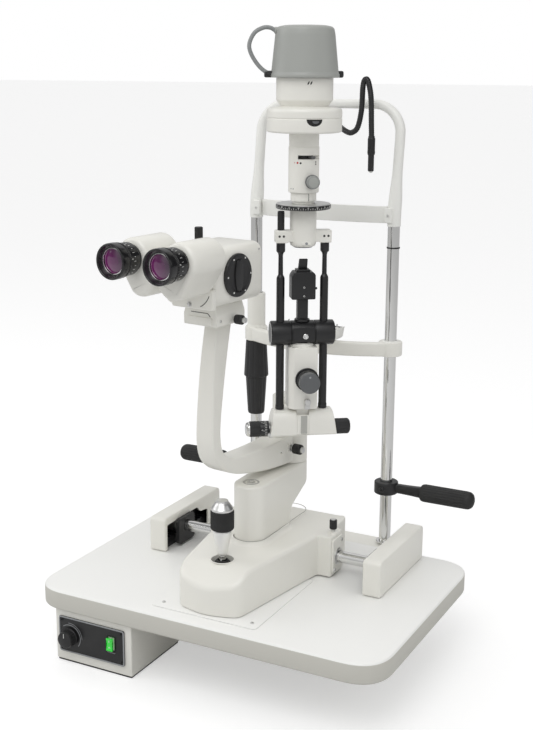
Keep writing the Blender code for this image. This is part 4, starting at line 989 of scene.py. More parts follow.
def makeMicroscopeArm():
    # a rounded box section between the outer and the inner edge, carried along both
    run = curveThrough(armStations, 8)
    outer, inner, half = run[:, None, 0:2], run[:, None, 2:4], run[:, None, 4:5]
    u = softened([(-1, 0), (1, 0), (1, 1), (-1, 1)], 0.18, 5, True)
    height = np.linalg.norm(inner - outer, axis=-1, keepdims=True)
    corner = softened([(0, 0), (1, 0), (1, 1), (0, 1)], 0.001, 5, True)
    square = softened([(0, 0), (1, 0), (1, 1), (0, 1)], 0.5, 5, True)
    bend = square - corner
    x = (corner[None, :, 0:1] - 0.5) * 2 * half + bend[None, :, 0:1] * arm["corner"] * 2
    t = corner[None, :, 1:2] + bend[None, :, 1:2] * arm["corner"] * 2 / height
    yz = outer + (inner - outer) * t
    shell = skin(np.concatenate([x, yz], axis=-1), scope)
    hub = lathe([(arm["hub"], 0.1426), (arm["hub"], 0.1868)], scope, 96, 0.0012)
    bore = lathe([(0.0143, 0.10), (0.0143, 0.24)], scope, 48, 0.0001)
    hole = lathe([(0.0016, -0.003), (0.0016, 0.010)], step(scope, 0.0163, -0.046, 0.1655, "X"), 20, 0.0001)
    shell = carved(shell, [bore, hole], [hub])
    knob = joints["arm_lock_turn"]["pos_m"]
    at = np.linalg.inv(scope) @ np.array([*knob, 1.0])
    boss = lathe([(0.0076, -0.0040), (0.0076, 0.0005), (0.0066, 0.0012), (0.0036, 0.0012)], step(scope, at[0] - 0.0002, at[1], at[2], "X"), 48,
                 0.0006)
    nut = lathe([(0.0056, 0.0010), (0.0056, 0.0030), (0.0040, 0.0032)], step(scope, at[0] - 0.0002, at[1], at[2], "X"), 24, 0.0004)
    seat = lathe([(0.0150, -0.0150), (0.0150, 0.0), (0.0138, 0.0012)], step(scope, 0, -0.030, 0.1858, "Z"), 56, 0.0006)
    piece("microscopeArm", "microscope", [(enamel, shell), (enamel, boss), (satinSteel, nut), (enamel, seat)],
          ["microscope_arm"], 30)
    where = step(scope, at[0], at[1], at[2], "X")
    stem = lathe([(0.0030, 0.0012), (0.0030, 0.0066)], where, 24, 0.0001)
    grip = lathe([(0.0060, 0.0062), (0.0071, 0.0070), (0.0072, 0.0180), (0.0062, 0.0192)], where, 144, 0.0005,
                 {"low": 0.0069, "high": 0.0181, "depth": 0.0007, "count": 24})
    tip = lathe([(0.0046, 0.0188), (0.0046, 0.0219), (0.0040, 0.0224)], where, 32, 0.0004)
    piece("armLockKnob", "arm_lock", [(satinSteel, stem), (blackPlastic, grip), (satinSteel, tip)],
          ["arm_lock_knob"])


makeMicroscopeArm()


# ---- microscope

body = {"half": 0.040, "front": -0.126, "rear": -0.228, "low": 0.400, "high": 0.473, "corner": 0.013, "edge": 0.0050}


def makeMount():
    across = step(scope, 0, -0.146, 0, "-Y")
    outline = [(-0.0260, 0.3720), (0.0260, 0.3720), (0.0260, 0.3865), (0.0215, 0.3990), (-0.0215, 0.3990), (-0.0260, 0.3865)]
    block = slab(outline, 0.0, 0.0600, across, 0.0012, 0.0012)
    tray = slab(rectangle(-0.0190, 0.3740, 0.0190, 0.3835), 0.0595, 0.0612, across, 0.0015, 0.0005)
    # a thin dark strip on the tray: painted shade standing for a groove
    line = slab([(-0.0140, 0.3885), (0.0120, 0.3885), (0.0160, 0.3845), (0.0168, 0.3851), (0.0124, 0.3893), (-0.0140, 0.3893)],
                0.0598, 0.0603, across, 0.0001, 0.0001, 1)
    sideScrews = [(satinSteel, screwHead(step(scope, 0.0260, y, 0.3790, "X"), 0.0018)) for y in (-0.155, -0.198)]
    piece("dovetailMount", "microscope", [(enamel, block), (enamel, tray), (paintedShadeBlack, line), *sideScrews],
          ["microscope_mount"])
    spot = np.linalg.inv(scope) @ np.array([*joints["mount_clamp_turn"]["pos_m"], 1.0])
    where = step(scope, spot[0], spot[1], spot[2], "X")
    stem = lathe([(0.0026, 0.0002), (0.0026, 0.0048)], where, 24, 0.0001)
    grip = lathe([(0.0050, 0.0042), (0.0061, 0.0050), (0.0062, 0.0145), (0.0050, 0.0160)], where, 120, 0.0005,
                 {"low": 0.0049, "high": 0.0146, "depth": 0.0006, "count": 20})
    tip = lathe([(0.0036, 0.0158), (0.0036, 0.0196), (0.0030, 0.0200)], where, 32, 0.0003)
    piece("mountClampKnob", "mount_clamp", [(satinSteel, stem), (blackPlastic, grip), (satinSteel, tip)],
          ["mount_clamp_knob"])


def makeBody():
    across = step(scope, 0, body["front"], 0, "-Y")
    deep = body["front"] - body["rear"]
    shell = slab(rectangle(-body["half"], body["low"], body["half"], body["high"]), 0.0, deep, across, body["corner"] * 1.2,
                 body["edge"], 8)
    chin = slab([(-0.152, 0.380), (-0.100, 0.380), (-0.100, 0.434)], -0.06, 0.06, step(scope, 0, 0, 0, "X"), 0.001, 0.0001)
    bore = lathe([(0.0205, -0.010), (0.0205, 0.02)], step(scope, 0, body["front"], 0.440, "Y"), 64, 0.0002)
    shell = carved(shell, [chin, bore])
    lens = lathe([(0.0203, -0.0095), (0.0203, -0.0045), (0.0190, -0.0042), (0.0150, -0.0028), (0.0080, -0.0016), (0.0010, -0.0012)],
                 step(scope, 0, body["front"], 0.440, "Y"), 56, 0.0006)
    ringAt = step(scope, 0, body["front"], 0.440, "Y")
    ring = lathe([(0.0186, -0.0050), (0.0204, -0.0050), (0.0204, -0.0004), (0.0192, -0.0004)], ringAt, 56, 0.0003, None, True)
    lower = slab([(-0.0215, 0.3995), (0.0420, 0.3995), (0.0425, 0.4040), (0.0425, 0.4250), (-0.0215, 0.4250)], deep - 0.001,
                 deep + 0.0075, across, 0.0030, 0.0022)
    pin = lathe([(0.0020, 0.0), (0.0020, 0.0030), (0.0013, 0.0034)], step(across, 0.0070, 0.4050, deep + 0.0072), 24, 0.0003)
    pinRing = lathe([(0.0022, 0.0), (0.0034, 0.0), (0.0034, 0.0009), (0.0022, 0.0009)], step(across, 0.0070, 0.4050, deep + 0.0072),
                    32, 0.0002, None, True)
    # the curved groove in the lower housing is a dark strip laid on the plate: painted shade
    curve = np.radians(np.linspace(-64, -22, 14))
    groove = np.concatenate([
        np.stack([0.012 + 0.0276 * np.cos(curve), 0.428 + 0.0276 * np.sin(curve)], axis=1),
        np.stack([0.012 + 0.0266 * np.cos(curve[::-1]), 0.428 + 0.0266 * np.sin(curve[::-1])], axis=1),
    ])
    slot = slab(groove, deep + 0.0068, deep + 0.0077, across, 0.0001, 0.0001, 1)
    screws = [(satinSteel, screwHead(step(scope, x, y, body["high"]), 0.0020)) for x, y in ((0.010, -0.202), (0.022, -0.202))]
    dots = [(satinSteel, screwHead(step(scope, 0.0400, y, 0.4640, "X"), 0.0013)) for y in (-0.135,)]
    piece("microscopeBody", "microscope",
          [(enamel, shell), (lensDark, lens), (blackPaint, ring), (enamel, lower), (satinSteel, pin), (satinSteel, pinRing),
           (paintedShadeBlack, slot), *screws, *dots], ["microscope_body"], 30)

    knobAt = step(scope, 0, -0.207, body["high"])
    stem = lathe([(0.0048, 0.0), (0.0048, 0.0020), (0.0034, 0.0024), (0.0034, 0.0150)], knobAt, 32, 0.0004)
    grip = lathe([(0.0046, 0.0070), (0.0052, 0.0076), (0.0052, 0.0222), (0.0046, 0.0230)], knobAt, 96, 0.0004,
                 {"low": 0.0076, "high": 0.0222, "depth": 0.0005, "count": 16})
    piece("guidePlateKnob", "microscope", [(blackPaint, stem), (blackPlastic, grip)])


drum = {"radius": 0.0272, "dots": 6}


def makeDrum():
    pivot = joints["magnification_turn"]["pos_m"]
    spot = np.linalg.inv(scope) @ np.array([*pivot, 1.0])
    r = drum["radius"]
    shaft = lathe([(0.0060, -0.0410), (0.0060, 0.0410)], step(scope, 0, spot[1], spot[2], "X"), 32, 0.0001)
    parts = [(blackPaint, shaft)]
    for to in ("X", "-X"):
        face = step(scope, 0, spot[1], spot[2], to)
        rim = lathe([(r - 0.0004, 0.0400), (r, 0.0402), (r, 0.0432), (r - 0.0012, 0.0446), (r - 0.0062, 0.0448), (r - 0.0072, 0.0436),
                     (0.0060, 0.0432)], face, 96, 0.0005)
        y = np.linspace(-0.0196, 0.0196, 25)
        half = 0.0082 * np.sqrt(np.clip(1 - (y / 0.0222) ** 2, 0, 1))
        outline = np.concatenate([np.stack([half, y], axis=1), np.stack([-half[::-1], y[::-1]], axis=1)])
        ridge = slab(outline, 0.0428, 0.0452, face, 0.0008, 0.0010)
        parts += [(blackPlastic, rim), (blackPaint, ridge)]
        for k in range(drum["dots"]):
            a = math.radians(90 + 360 / drum["dots"] * (k + 0.5))
            dot = lathe([(0.0011, -0.0004), (0.0011, 0.0002), (0.0007, 0.0003)],
                        step(face, (r - 0.0036) * math.cos(a), (r - 0.0036) * math.sin(a), 0.0448), 16, 0.0001)
            parts.append((inkWhite, dot))
    piece("magnificationDrum", "magnification", parts, ["magnification_drum"])


eyepiece = {"across": 0.0115, "up": 0.025, "big": 0.0243, "small": 0.0215}


def makeEyepiece(word, side):
    pivot = joints[f"prism_{word}_turn"]["pos_m"]
    spot = np.linalg.inv(scope) @ np.array([*pivot, 1.0])
    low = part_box(f"prism_housing_{word}")
    rear, front = -0.2925, -0.2283
    across, up = side * eyepiece["across"], eyepiece["up"]
    tilt = math.atan2(-across, up)
    big = tilt + np.radians(np.linspace(-15, 195, 40))
    little = tilt + np.radians(np.linspace(205, 335, 18))
    outline = np.concatenate([
        np.stack([across + eyepiece["big"] * np.cos(big), up + eyepiece["big"] * np.sin(big)], axis=1),
        np.stack([eyepiece["small"] * np.cos(little), eyepiece["small"] * np.sin(little)], axis=1),
    ])
    face = step(scope, spot[0], front, spot[2], "-Y")
    housing = slab(outline, 0.0, front - rear, face, 0.0020, 0.0065, 3)
    flange = slab(outline * 0.90, -0.0001, 0.0100, face, 0.0020, 0.0008, 3)
    collarAt = step(face, across, up, front - rear)
    collar = lathe([(0.0196, -0.0040), (0.0196, -0.0008), (0.0180, 0.0002)], collarAt, 64, 0.0006)
    piece(f"prismHousing{word.title()}", f"prism_{word}", [(enamel, housing), (enamel, flange), (enamel, collar)],
          [f"prism_housing_{word}"], 30)

    at = step(face, across, up, 0.0710)
    sleeve = lathe([(0.0168, -0.0064), (0.0168, 0.0062), (0.0150, 0.0066)], at, 64, 0.0003)
    scale = lathe([(0.0188, -0.0010), (0.0200, 0.0000), (0.0200, 0.0142), (0.0194, 0.0152)], at, 96, 0.0004)
    knurl = lathe([(0.0196, 0.0148), (0.0214, 0.0158), (0.0214, 0.0186), (0.0196, 0.0196)], at, 288, 0.0004,
                  {"low": 0.0156, "high": 0.0188, "depth": 0.0006, "count": 72})
    cupRing = lathe([(0.0196, 0.0190), (0.0218, 0.0204), (0.0218, 0.0300), (0.0210, 0.0318), (0.0196, 0.0320), (0.0186, 0.0306),
                     (0.0172, 0.0262), (0.0160, 0.0252), (0.0160, 0.0190)], at, 96, 0.0010, None, True)
    silver = lathe([(0.0164, 0.0246), (0.0164, 0.0258), (0.0152, 0.0262), (0.0148, 0.0250), (0.0150, 0.0240)], at, 72, 0.0003, None,
                   True)
    # a dark ring inside the eyecup: painted shade of the cup's interior
    eyecupShade = lathe([(0.0134, 0.0225), (0.0134, 0.0248), (0.0120, 0.0244)], at, 56, 0.0003)
    lens = lathe([(0.0147, 0.0236), (0.0147, 0.0242), (0.0125, 0.0252), (0.0085, 0.0262), (0.0042, 0.0267), (0.0006, 0.0268)], at, 64,
                 0.0012)
    marks = [(inkWhite, ticks(np.arange(0, 360, 15), 0.0201, 0.0072, at, 0.0004, np.where(np.arange(24) % 2 == 0, 0.0034, 0.0020)))]
    for k, label in enumerate(("0", "2", "4", "6", "8", "10")):
        marks.append((inkWhite, numeral(label, 0.0034, around(at, 60 * k + 8, 0.0200, 0.0128))))
    piece(f"eyepiece{word.title()}", f"eyepiece_{word}",
          [(blackPaint, sleeve), (blackGloss, scale), (blackGloss, knurl), (blackGloss, cupRing), (chrome, silver),
           (paintedShadeBlack, eyecupShade), (lensPurple, lens), *marks], [f"eyepiece_{word}"])


makeMount()
makeBody()
makeDrum()
makeEyepiece("left", -1)
makeEyepiece("right", 1)
print("microscope made")


# ---- illumination arm and slit width control

lower = {"foot": 0.2085, "half": (0.0465, 0.0400)}


def makeIlluminationArm():
    outline = [(-0.0185, lower["foot"]), (0.0185, lower["foot"]), (0.0185, 0.2300), (0.0120, 0.2418), (-0.0120, 0.2418),
               (-0.0185, 0.2300)]
    wide, narrow = lower["half"]

    def taper(grid):
        # the half length runs from wide at the foot to narrow at the crown
        share = np.clip((grid[..., 1] - lower["foot"]) / 0.0404, 0, 1)
        made = grid.copy()
        made[..., 2] *= (wide + (narrow - wide) * share) / wide
        return made

    housing = slab(outline, -0.0435, wide, step(tower, 0, 0, 0, "X"), [0.003, 0.003, 0.008, 0.008, 0.008, 0.008], 0.0016, 6, taper)
    link = slab(rectangle(-0.018, 0.010, 0.018, 0.078), 0.2092, 0.2300, tower, 0.002, 0.0015)
    hubAt = step(tower, 0, 0.088, 0)
    hub = lathe([(0.0248, 0.1874), (0.0248, 0.2360)], hubAt, 96, 0.0015)
    bore = lathe([(0.0143, 0.10), (0.0143, 0.26)], hubAt, 48, 0.0001)
    slot = blockShell((-0.0082, -0.042, 0.2100), (0.0082, 0.0140, 0.26), tower, 0.0002)
    shaftBore = lathe([(0.0045, -0.06), (0.0045, 0.06)], step(tower, 0, 0, tiltHeight, "X"), 24, 0.0001)
    shell = carved(housing, [bore, slot, shaftBore], [link, hub])
    strip = slab(rectangle(-0.0042, 0.2118, 0.0042, 0.2365), 0.0, 0.0011, step(tower, 0.0012, -0.0184, 0, "-Y"), 0.0006, 0.0003)
    frontPlate = slab(rectangle(-0.0080, 0.2104, 0.0080, 0.2370), 0.0, 0.0036, step(tower, 0, -0.0150, 0, "-Y"), 0.0006, 0.0005)
    foot = lathe([(0.0040, -0.0040), (0.0040, 0.0002), (0.0030, 0.0012)], step(tower, -0.0430, -0.0120, lower["foot"], "-Z"), 24, 0.0004)
    screw = screwHead(step(tower, -0.0430, -0.0120, lower["foot"] - 0.0012, "-Z"), 0.0026)
    cap = lathe([(0.0150, 0.2362), (0.0150, 0.2372), (0.0120, 0.2385), (0.0030, 0.2388)], hubAt, 48, 0.0008)
    piece("illuminationArm", "illumination",
          [(enamelAlloy, shell), (enamelAlloy, frontPlate), (indexGrey, strip), (satinSteel, foot), (satinSteel, screw),
           (whitePlastic, cap)], ["illumination_arm"], 30)


slit = {"right": 0.0106, "left": 0.0106}


def makeSlitControl():
    where = step(tower, 0, 0, tiltHeight, "X")
    shaft = lathe([(0.0042, -0.0470), (0.0042, 0.0470)], where, 32, 0.0001)
    right = lathe([(0.0098, 0.0468), (0.0106, 0.0476), (0.0106, 0.0640), (0.0096, 0.0656), (0.0078, 0.0666)], where, 192, 0.0005,
                  {"low": 0.0475, "high": 0.0641, "depth": 0.0005, "count": 32})
    rightTip = lathe([(0.0080, 0.0650), (0.0080, 0.0667), (0.0070, 0.0668)], where, 48, 0.0002)
    scale = lathe([(0.0106, -0.0440), (0.0106, -0.0560), (0.0102, -0.0564)], where, 96, 0.0003)
    left = lathe([(0.0102, -0.0562), (0.0106, -0.0568), (0.0106, -0.0690), (0.0100, -0.0700)], where, 192, 0.0004,
                 {"low": -0.0691, "high": -0.0567, "depth": 0.0005, "count": 32})
    leftTip = lathe([(0.0098, -0.0698), (0.0098, -0.0718), (0.0086, -0.0740), (0.0060, -0.0752)], where, 64, 0.0006)
    flip = step(tower, 0, 0, tiltHeight, "-X")
    marks = ticks(np.arange(0, 360, 12), 0.01065, 0.0472, flip, 0.0004, np.where(np.arange(30) % 5 == 0, 0.0050, 0.0028))
    numbers = [(inkWhite, numeral(str(k), 0.0032, around(flip, 60 * k + 6, 0.0106, 0.0535))) for k in range(6)]
    piece("slitWidthControl", "slit_width",
          [(satinSteel, shaft), (blackPlastic, right), (blackPaint, rightTip), (blackPaint, scale), (blackPlastic, left),
           (chrome, leftTip), (inkWhite, marks), *numbers], ["slit_width_control"])


makeIlluminationArm()
makeSlitControl()


# ---- tilting tower: body, rods, cross cylinder and mirror

rods = {"across": 0.029, "radius": 0.0054, "top": 0.4657}


def makeTiltBody():
    outline = [(-0.0190, -0.0120), (-0.0130, -0.0180), (0.0190, -0.0180), (0.0190, 0.0180), (-0.0190, 0.0180)]
    shell = slab(outline, 0.2450, 0.3290, tower, 0.0014, 0.0014)
    tongueOutline = np.concatenate([
        roundOutline(0.0110, 40)[20:], [[0.0110, 0.0350], [-0.0110, 0.0350]]])
    tongue = slab(tongueOutline, -0.0078, 0.0078, step(tower, 0, 0, tiltHeight, "X"), 0.0002, 0.0005, 1)
    bore = lathe([(0.0045, -0.02), (0.0045, 0.02)], step(tower, 0, 0, tiltHeight, "X"), 24, 0.0001)
    shell = carved(shell, [bore], [tongue])
    neck = lathe([(0.0165, 0.3280), (0.0165, 0.3325), (0.0140, 0.3345)], tower, 56, 0.0008)
    washer = lathe([(0.0158, 0.0), (0.0158, 0.0012), (0.0150, 0.0018), (0.0060, 0.0018)], step(tower, 0.0045, -0.0180, 0.2860, "-Y"),
                   56, 0.0004)
    backPlate = slab(rectangle(-0.0150, 0.2500, 0.0150, 0.3240), 0.0, 0.0012, step(tower, 0, 0.0180, 0, "Y"), 0.002, 0.0005)
    backScrews = [(satinSteel, screwHead(step(tower, x, 0.0192, z, "Y"), 0.0018)) for x in (-0.011, 0.011) for z in (0.255, 0.319)]
    piece("tiltBody", "tower",
          [(enamelAlloy, shell), (enamelAlloy, neck), (blackPaint, washer), (enamelAlloy, backPlate), *backScrews], ["tilt_body"], 30)
    frame["nodes"]["tilt_latch"].data.materials[0] = satinSteel
    at = step(tower, 0.0050, -0.0232, 0.2562, "-Y")
    hook = lathe([(0.0042, 0.0), (0.0042, 0.0016), (0.0036, 0.0022), (0.0014, 0.0022)], at, 32, 0.0004)
    piece("latchButton", "tilt_latch", [(satinSteel, hook)])

    knobAt = step(tower, 0.0045, -0.0183, 0.2860, "-Y")
    ring = lathe([(0.0126, 0.0021), (0.0140, 0.0036), (0.0140, 0.0120), (0.0134, 0.0130)], knobAt, 240, 0.0005,
                 {"low": 0.0035, "high": 0.0121, "depth": 0.0007, "count": 40})
    front = lathe([(0.0132, 0.0126), (0.0136, 0.0134), (0.0136, 0.0226), (0.0130, 0.0234), (0.0122, 0.0235)], knobAt, 96, 0.0006)
    dimple = lathe([(0.0015, 0.0232), (0.0015, 0.0236), (0.0009, 0.0237)], step(knobAt, 0.0, 0.0085, 0), 16, 0.0002)
    piece("centringKnob", "centring", [(blackPlastic, ring), (knobGrey, front), (inkGrey, dimple)], ["centring_knob"])


def makeRods():
    for word, side in (("left", -1), ("right", 1)):
        where = step(tower, side * rods["across"], 0, 0)
        r = rods["radius"]
        rod = lathe([(0.0059, 0.2426), (0.0059, 0.2478), (r, 0.2488), (r, 0.4190), (r - 0.0006, 0.4212), (0.0032, 0.4240), (0.0030, 0.4490),
                     (0.0036, 0.4520), (0.0058, 0.4545), (0.0058, rods["top"] - 0.0003)], where, 48, 0.0008)
        piece(f"guideRod{word.title()}", "tower", [(blackPaint, rod)], [f"guide_rod_{word}"])


cross = {"height": 0.346, "radius": 0.0165, "half": 0.0425}


def makeCrossCylinder():
    where = step(tower, 0, 0, cross["height"], "X")
    r, half = cross["radius"], cross["half"]
    shell = lathe([(r - 0.0016, -half), (r, -half + 0.0014), (r, -0.0166), (r - 0.0010, -0.0162), (r - 0.0010, -0.0152), (r, -0.0148),
                   (r, 0.0148), (r - 0.0010, 0.0152), (r - 0.0010, 0.0162), (r, 0.0166), (r, half - 0.0014), (r - 0.0016, half)],
                  where, 96, 0.0003)
    bores = [lathe([(0.0057, -0.03), (0.0057, 0.03)], step(tower, s * rods["across"], 0, cross["height"]), 32, 0.0001) for s in (-1, 1)]
    shell = carved(shell, bores)
    flat = slab(rectangle(-0.0145, -0.0095, 0.0145, 0.0095), 0.0, 0.0020, step(tower, 0, -r + 0.0012, cross["height"], "-Y"), 0.001, 0.0006)
    screwAt = step(tower, 0.0022, -r - 0.0008, cross["height"] - 0.0020, "-Y")
    screw = lathe([(0.0038, -0.0002), (0.0038, 0.0010), (0.0030, 0.0016), (0.0016, 0.0016), (0.0014, 0.0004), (0.0005, 0.0004)],
                  screwAt, 40, 0.0003)
    rims = [(satinSteel, lathe([(r - 0.0040, s * (half - 0.0002)), (r - 0.0018, s * (half - 0.0002)), (r - 0.0018, s * (half + 0.0001)),
                                (r - 0.0040, s * (half + 0.0001))], where, 64, 0.00005, None, True)) for s in (-1, 1)]
    piece("crossCylinder", "tower", [(blackPaint, shell), (blackPaint, flat), (chrome, screw), *rims],
          ["cross_cylinder"])


def makeMirror():
    across = step(tower, 0, 0, 0, "-Y")
    stem = slab(rectangle(-0.0070, 0.3628, 0.0070, 0.3915), -0.0060, 0.0060, across, 0.0008, 0.0008)
    outline = [(-0.0158, 0.3920), (0.0158, 0.3920), (0.0158, 0.4245), (0.0125, 0.4282), (-0.0118, 0.4282), (-0.0158, 0.4220)]
    holder = slab(outline, -0.0118, 0.0118, across, 0.0010, 0.0012)
    y = step(tower, 0, 0, 0, "X")
    blade = slab([(-0.0020, 0.4270), (0.0070, 0.4270), (-0.0045, 0.4452), (-0.0068, 0.4440)], -0.0056, 0.0056, y, 0.0006, 0.0005)
    glass = slab([(0.0072, 0.4290), (0.0081, 0.4296), (-0.0033, 0.4450), (-0.0041, 0.4444)], -0.0050, 0.0050, y, 0.0001, 0.0001)
    top = slab(rectangle(-0.0090, 0.4278, 0.0090, 0.4312), -0.0080, 0.0080, across, 0.0008, 0.0008)
    screws = [(satinSteel, screwHead(step(tower, 0.0006, -0.0118, z, "-Y"), 0.0014)) for z in (0.3968, 0.4082)]
    side = lathe([(0.0016, 0.0), (0.0016, 0.0024), (0.0010, 0.0028)], step(tower, 0.0158, -0.0060, 0.4060, "X"), 20, 0.0003)
    ring = lathe([(0.0088, 0.3612), (0.0102, 0.3620), (0.0102, 0.3645), (0.0088, 0.3652)], tower, 40, 0.0004)
    piece("mirrorHolder", "tower",
          [(blackPaint, stem), (blackPaint, holder), (blackPaint, blade), (mirrorFace, glass), (blackPaint, top), (blackPaint, side),
           (blackPaint, ring), *screws], ["mirror_holder"])


makeTiltBody()
makeRods()
makeCrossCylinder()
makeMirror()
print("illumination arm, rods and mirror made")


# ---- upper tower

def makeSlitBarrel():
    barrel = lathe([(0.0140, 0.4612), (0.0160, 0.4622), (0.0172, 0.4660), (0.0172, 0.5090), (0.0150, 0.5094)], tower, 96, 0.0010)
    neck = lathe([(0.0141, 0.5060), (0.0141, 0.5197)], tower, 64, 0.0001)
    x = np.linspace(-0.0365, 0.0365, 41)
    sag = 0.0050 * np.exp(-(x / 0.0130) ** 2)
    under = 0.4660 + np.where(np.abs(x) < 0.021, 0.0008 + sag * 0.5, 0.0)
    outline = np.concatenate([np.stack([x, under], axis=1), [[0.0365, 0.4822], [-0.0365, 0.4822]]])
    bridge = slab(outline, -0.0086, 0.0086, step(tower, 0, 0, 0, "-Y"), 0.0004, 0.0010, 2)
    lens = lathe([(0.0125, 0.4600), (0.0125, 0.4612), (0.0100, 0.4606), (0.0040, 0.4603)], step(tower, 0, 0, 0), 48, 0.0002)
    screws = [(inkBlack, lathe([(0.0015, -0.0002), (0.0015, 0.0003), (0.0009, 0.0001)], step(tower, x, -0.0086, 0.4748, "-Y"), 16, 0.0002))
              for x in (-0.0320, -0.0265, 0.0265, 0.0320)]
    latchAt = step(tower, 0.0016, -0.0165, 0.4665, "-Y")
    latch = slab([(-0.0065, -0.0022), (0.0065, -0.0022), (0.0050, 0.0024), (-0.0050, 0.0024)], 0.0, 0.0018, latchAt, 0.0014, 0.0006)
    eye = lathe([(0.0018, 0.0010), (0.0018, 0.0024), (0.0010, 0.0026)], latchAt, 20, 0.0003)
    postAt = step(tower, -rods["across"], 0, 0.4822)
    post = lathe([(0.0046, -0.0005), (0.0046, 0.0236), (0.0038, 0.0246)], postAt, 40, 0.0006)
    piece("slitBarrel", "tower",
          [(enamelAlloy, barrel), (enamelAlloy, neck), (enamelAlloy, bridge), (lensDark, lens), (enamelAlloy, latch), (inkGrey, eye),
           (blackPaint, post), *screws], ["slit_barrel"], 30)


def makeSlitRing():
    where = step(tower, 0, 0, 0)
    ring = lathe([(0.0145, 0.5098), (0.0340, 0.5098), (0.0356, 0.5108), (0.0356, 0.5148), (0.0346, 0.5158), (0.0145, 0.5158)], where, 288,
                 0.0005, None, True)
    top = lathe([(0.0150, 0.5156), (0.0349, 0.5156), (0.0349, 0.5166), (0.0340, 0.5168), (0.0150, 0.5168)], where, 96, 0.0002, None, True)
    longer = np.where(np.arange(72) % 2 == 0, 0.0026, 0.0015)
    marks = ticks(np.arange(0, 360, 5), 0.03565, 0.5112, where, 0.00042, longer)
    numbers = [(inkWhite, numeral(str(k), 0.0026, around(where, 20 * k + 10, 0.0356, 0.5140))) for k in range(18)]
    piece("slitRotationRing", "slit_rotation", [(blackPaint, ring), (satinSteel, top), (inkWhite, marks), *numbers],
          ["slit_rotation_ring"])


def makeFilterBarrel():
    lowPart = lathe([(0.0166, 0.5201), (0.0166, 0.5308), (0.0160, 0.5311)], tower, 72, 0.0002)
    main = lathe([(0.0186, 0.5306), (0.0197, 0.5314), (0.0197, 0.5884), (0.0190, 0.5889)], tower, 96, 0.0004)
    slot = blockShell((-0.0105, -0.030, 0.5733), (0.0192, -0.0056, 0.5784), tower, 0.0003)
    main = carved(main, [slot])
    lining = lathe([(0.0121, 0.5726), (0.0121, 0.5790)], tower, 64, 0.0001)
    neck = lathe([(0.0188, 0.5886), (0.0190, 0.5892), (0.0190, 0.6061), (0.0170, 0.6062)], tower, 96, 0.0003)
    seam = lathe([(0.0150, 0.5883), (0.0187, 0.5883), (0.0187, 0.5895), (0.0150, 0.5895)], tower, 72, 0.0001, None, True)
    shade = lathe([(0.0105, 0.5966), (0.0192, 0.5966), (0.0192, 0.6058), (0.0105, 0.6058)], tower, 72, 0.0003, None, True)
    frontAngle = -90
    marks = []
    for angle, height, r, colour in ((frontAngle - 34, 0.5690, 0.0013, inkRed), (frontAngle - 22, 0.5688, 0.0013, inkBlack),
                                     (frontAngle + 40, 0.5700, 0.0010, inkBlack), (frontAngle + 40, 0.5672, 0.0010, inkBlack),
                                     (frontAngle - 46, 0.5690, 0.0006, inkRed)):
        marks.append((colour, lathe([(r, -0.0003), (r, 0.0001), (r * 0.7, 0.00015)], around(tower, angle, 0.0197, height), 16, 0.00005)))
    window = lathe([(0.0034, -0.0003), (0.0034, 0.0001), (0.0030, 0.00015)], around(tower, frontAngle - 28, 0.0197, 0.5745), 20, 0.0001)
    line = slab(rectangle(-0.0003, 0.5206, 0.0003, 0.5300), -0.0003, 0.0001, step(tower, 0.0040, -0.0162, 0, "-Y"), 0.0001, 0.00005)
    screws = [(inkGrey, lathe([(0.0008, -0.0003), (0.0008, 0.0002), (0.0005, 0.0001)], around(tower, frontAngle + a, 0.0197, 0.5360), 16,
                              0.0001)) for a in (-52, -64)]
    piece("filterBarrel", "tower",
          [(enamelAlloy, lowPart), (enamelAlloy, main), (blackPaint, lining), (enamelAlloy, neck), (indexGrey, seam), (enamelAlloy, shade),
           (inkBlack, line), *marks, *screws], ["filter_barrel"], 30)
    lever = joints["filter_turn"]["pos_m"]
    height = lever[2] - deckTop
    at = around(tower, frontAngle + 20, 0.0, height)
    shaft = lathe([(0.0013, 0.0130), (0.0013, 0.0206), (0.0019, 0.0210), (0.0021, 0.0258), (0.0014, 0.0267)], at, 32, 0.0004)
    piece("filterLever", "filter", [(knobGrey, shaft)], ["filter_lever"])

    knobAt = step(tower, 0.0072, -0.0197, 0.5455, "-Y")
    skirt = lathe([(0.0080, 0.0004), (0.0091, 0.0010), (0.0091, 0.0062), (0.0086, 0.0070)], knobAt, 192, 0.0004,
                  {"low": 0.0010, "high": 0.0063, "depth": 0.0005, "count": 32})
    front = lathe([(0.0084, 0.0066), (0.0084, 0.0114), (0.0076, 0.0123), (0.0066, 0.0124)], knobAt, 64, 0.0005)
    face = lathe([(0.0064, 0.0120), (0.0064, 0.0125), (0.0058, 0.0126)], knobAt, 48, 0.0001)
    piece("apertureKnob", "aperture", [(knobGrey, skirt), (knobPale, front), (capGrey, face)], ["aperture_knob"])


lamp = {"window": 0.0102, "windowAt": (-84.7, 0.6240)}


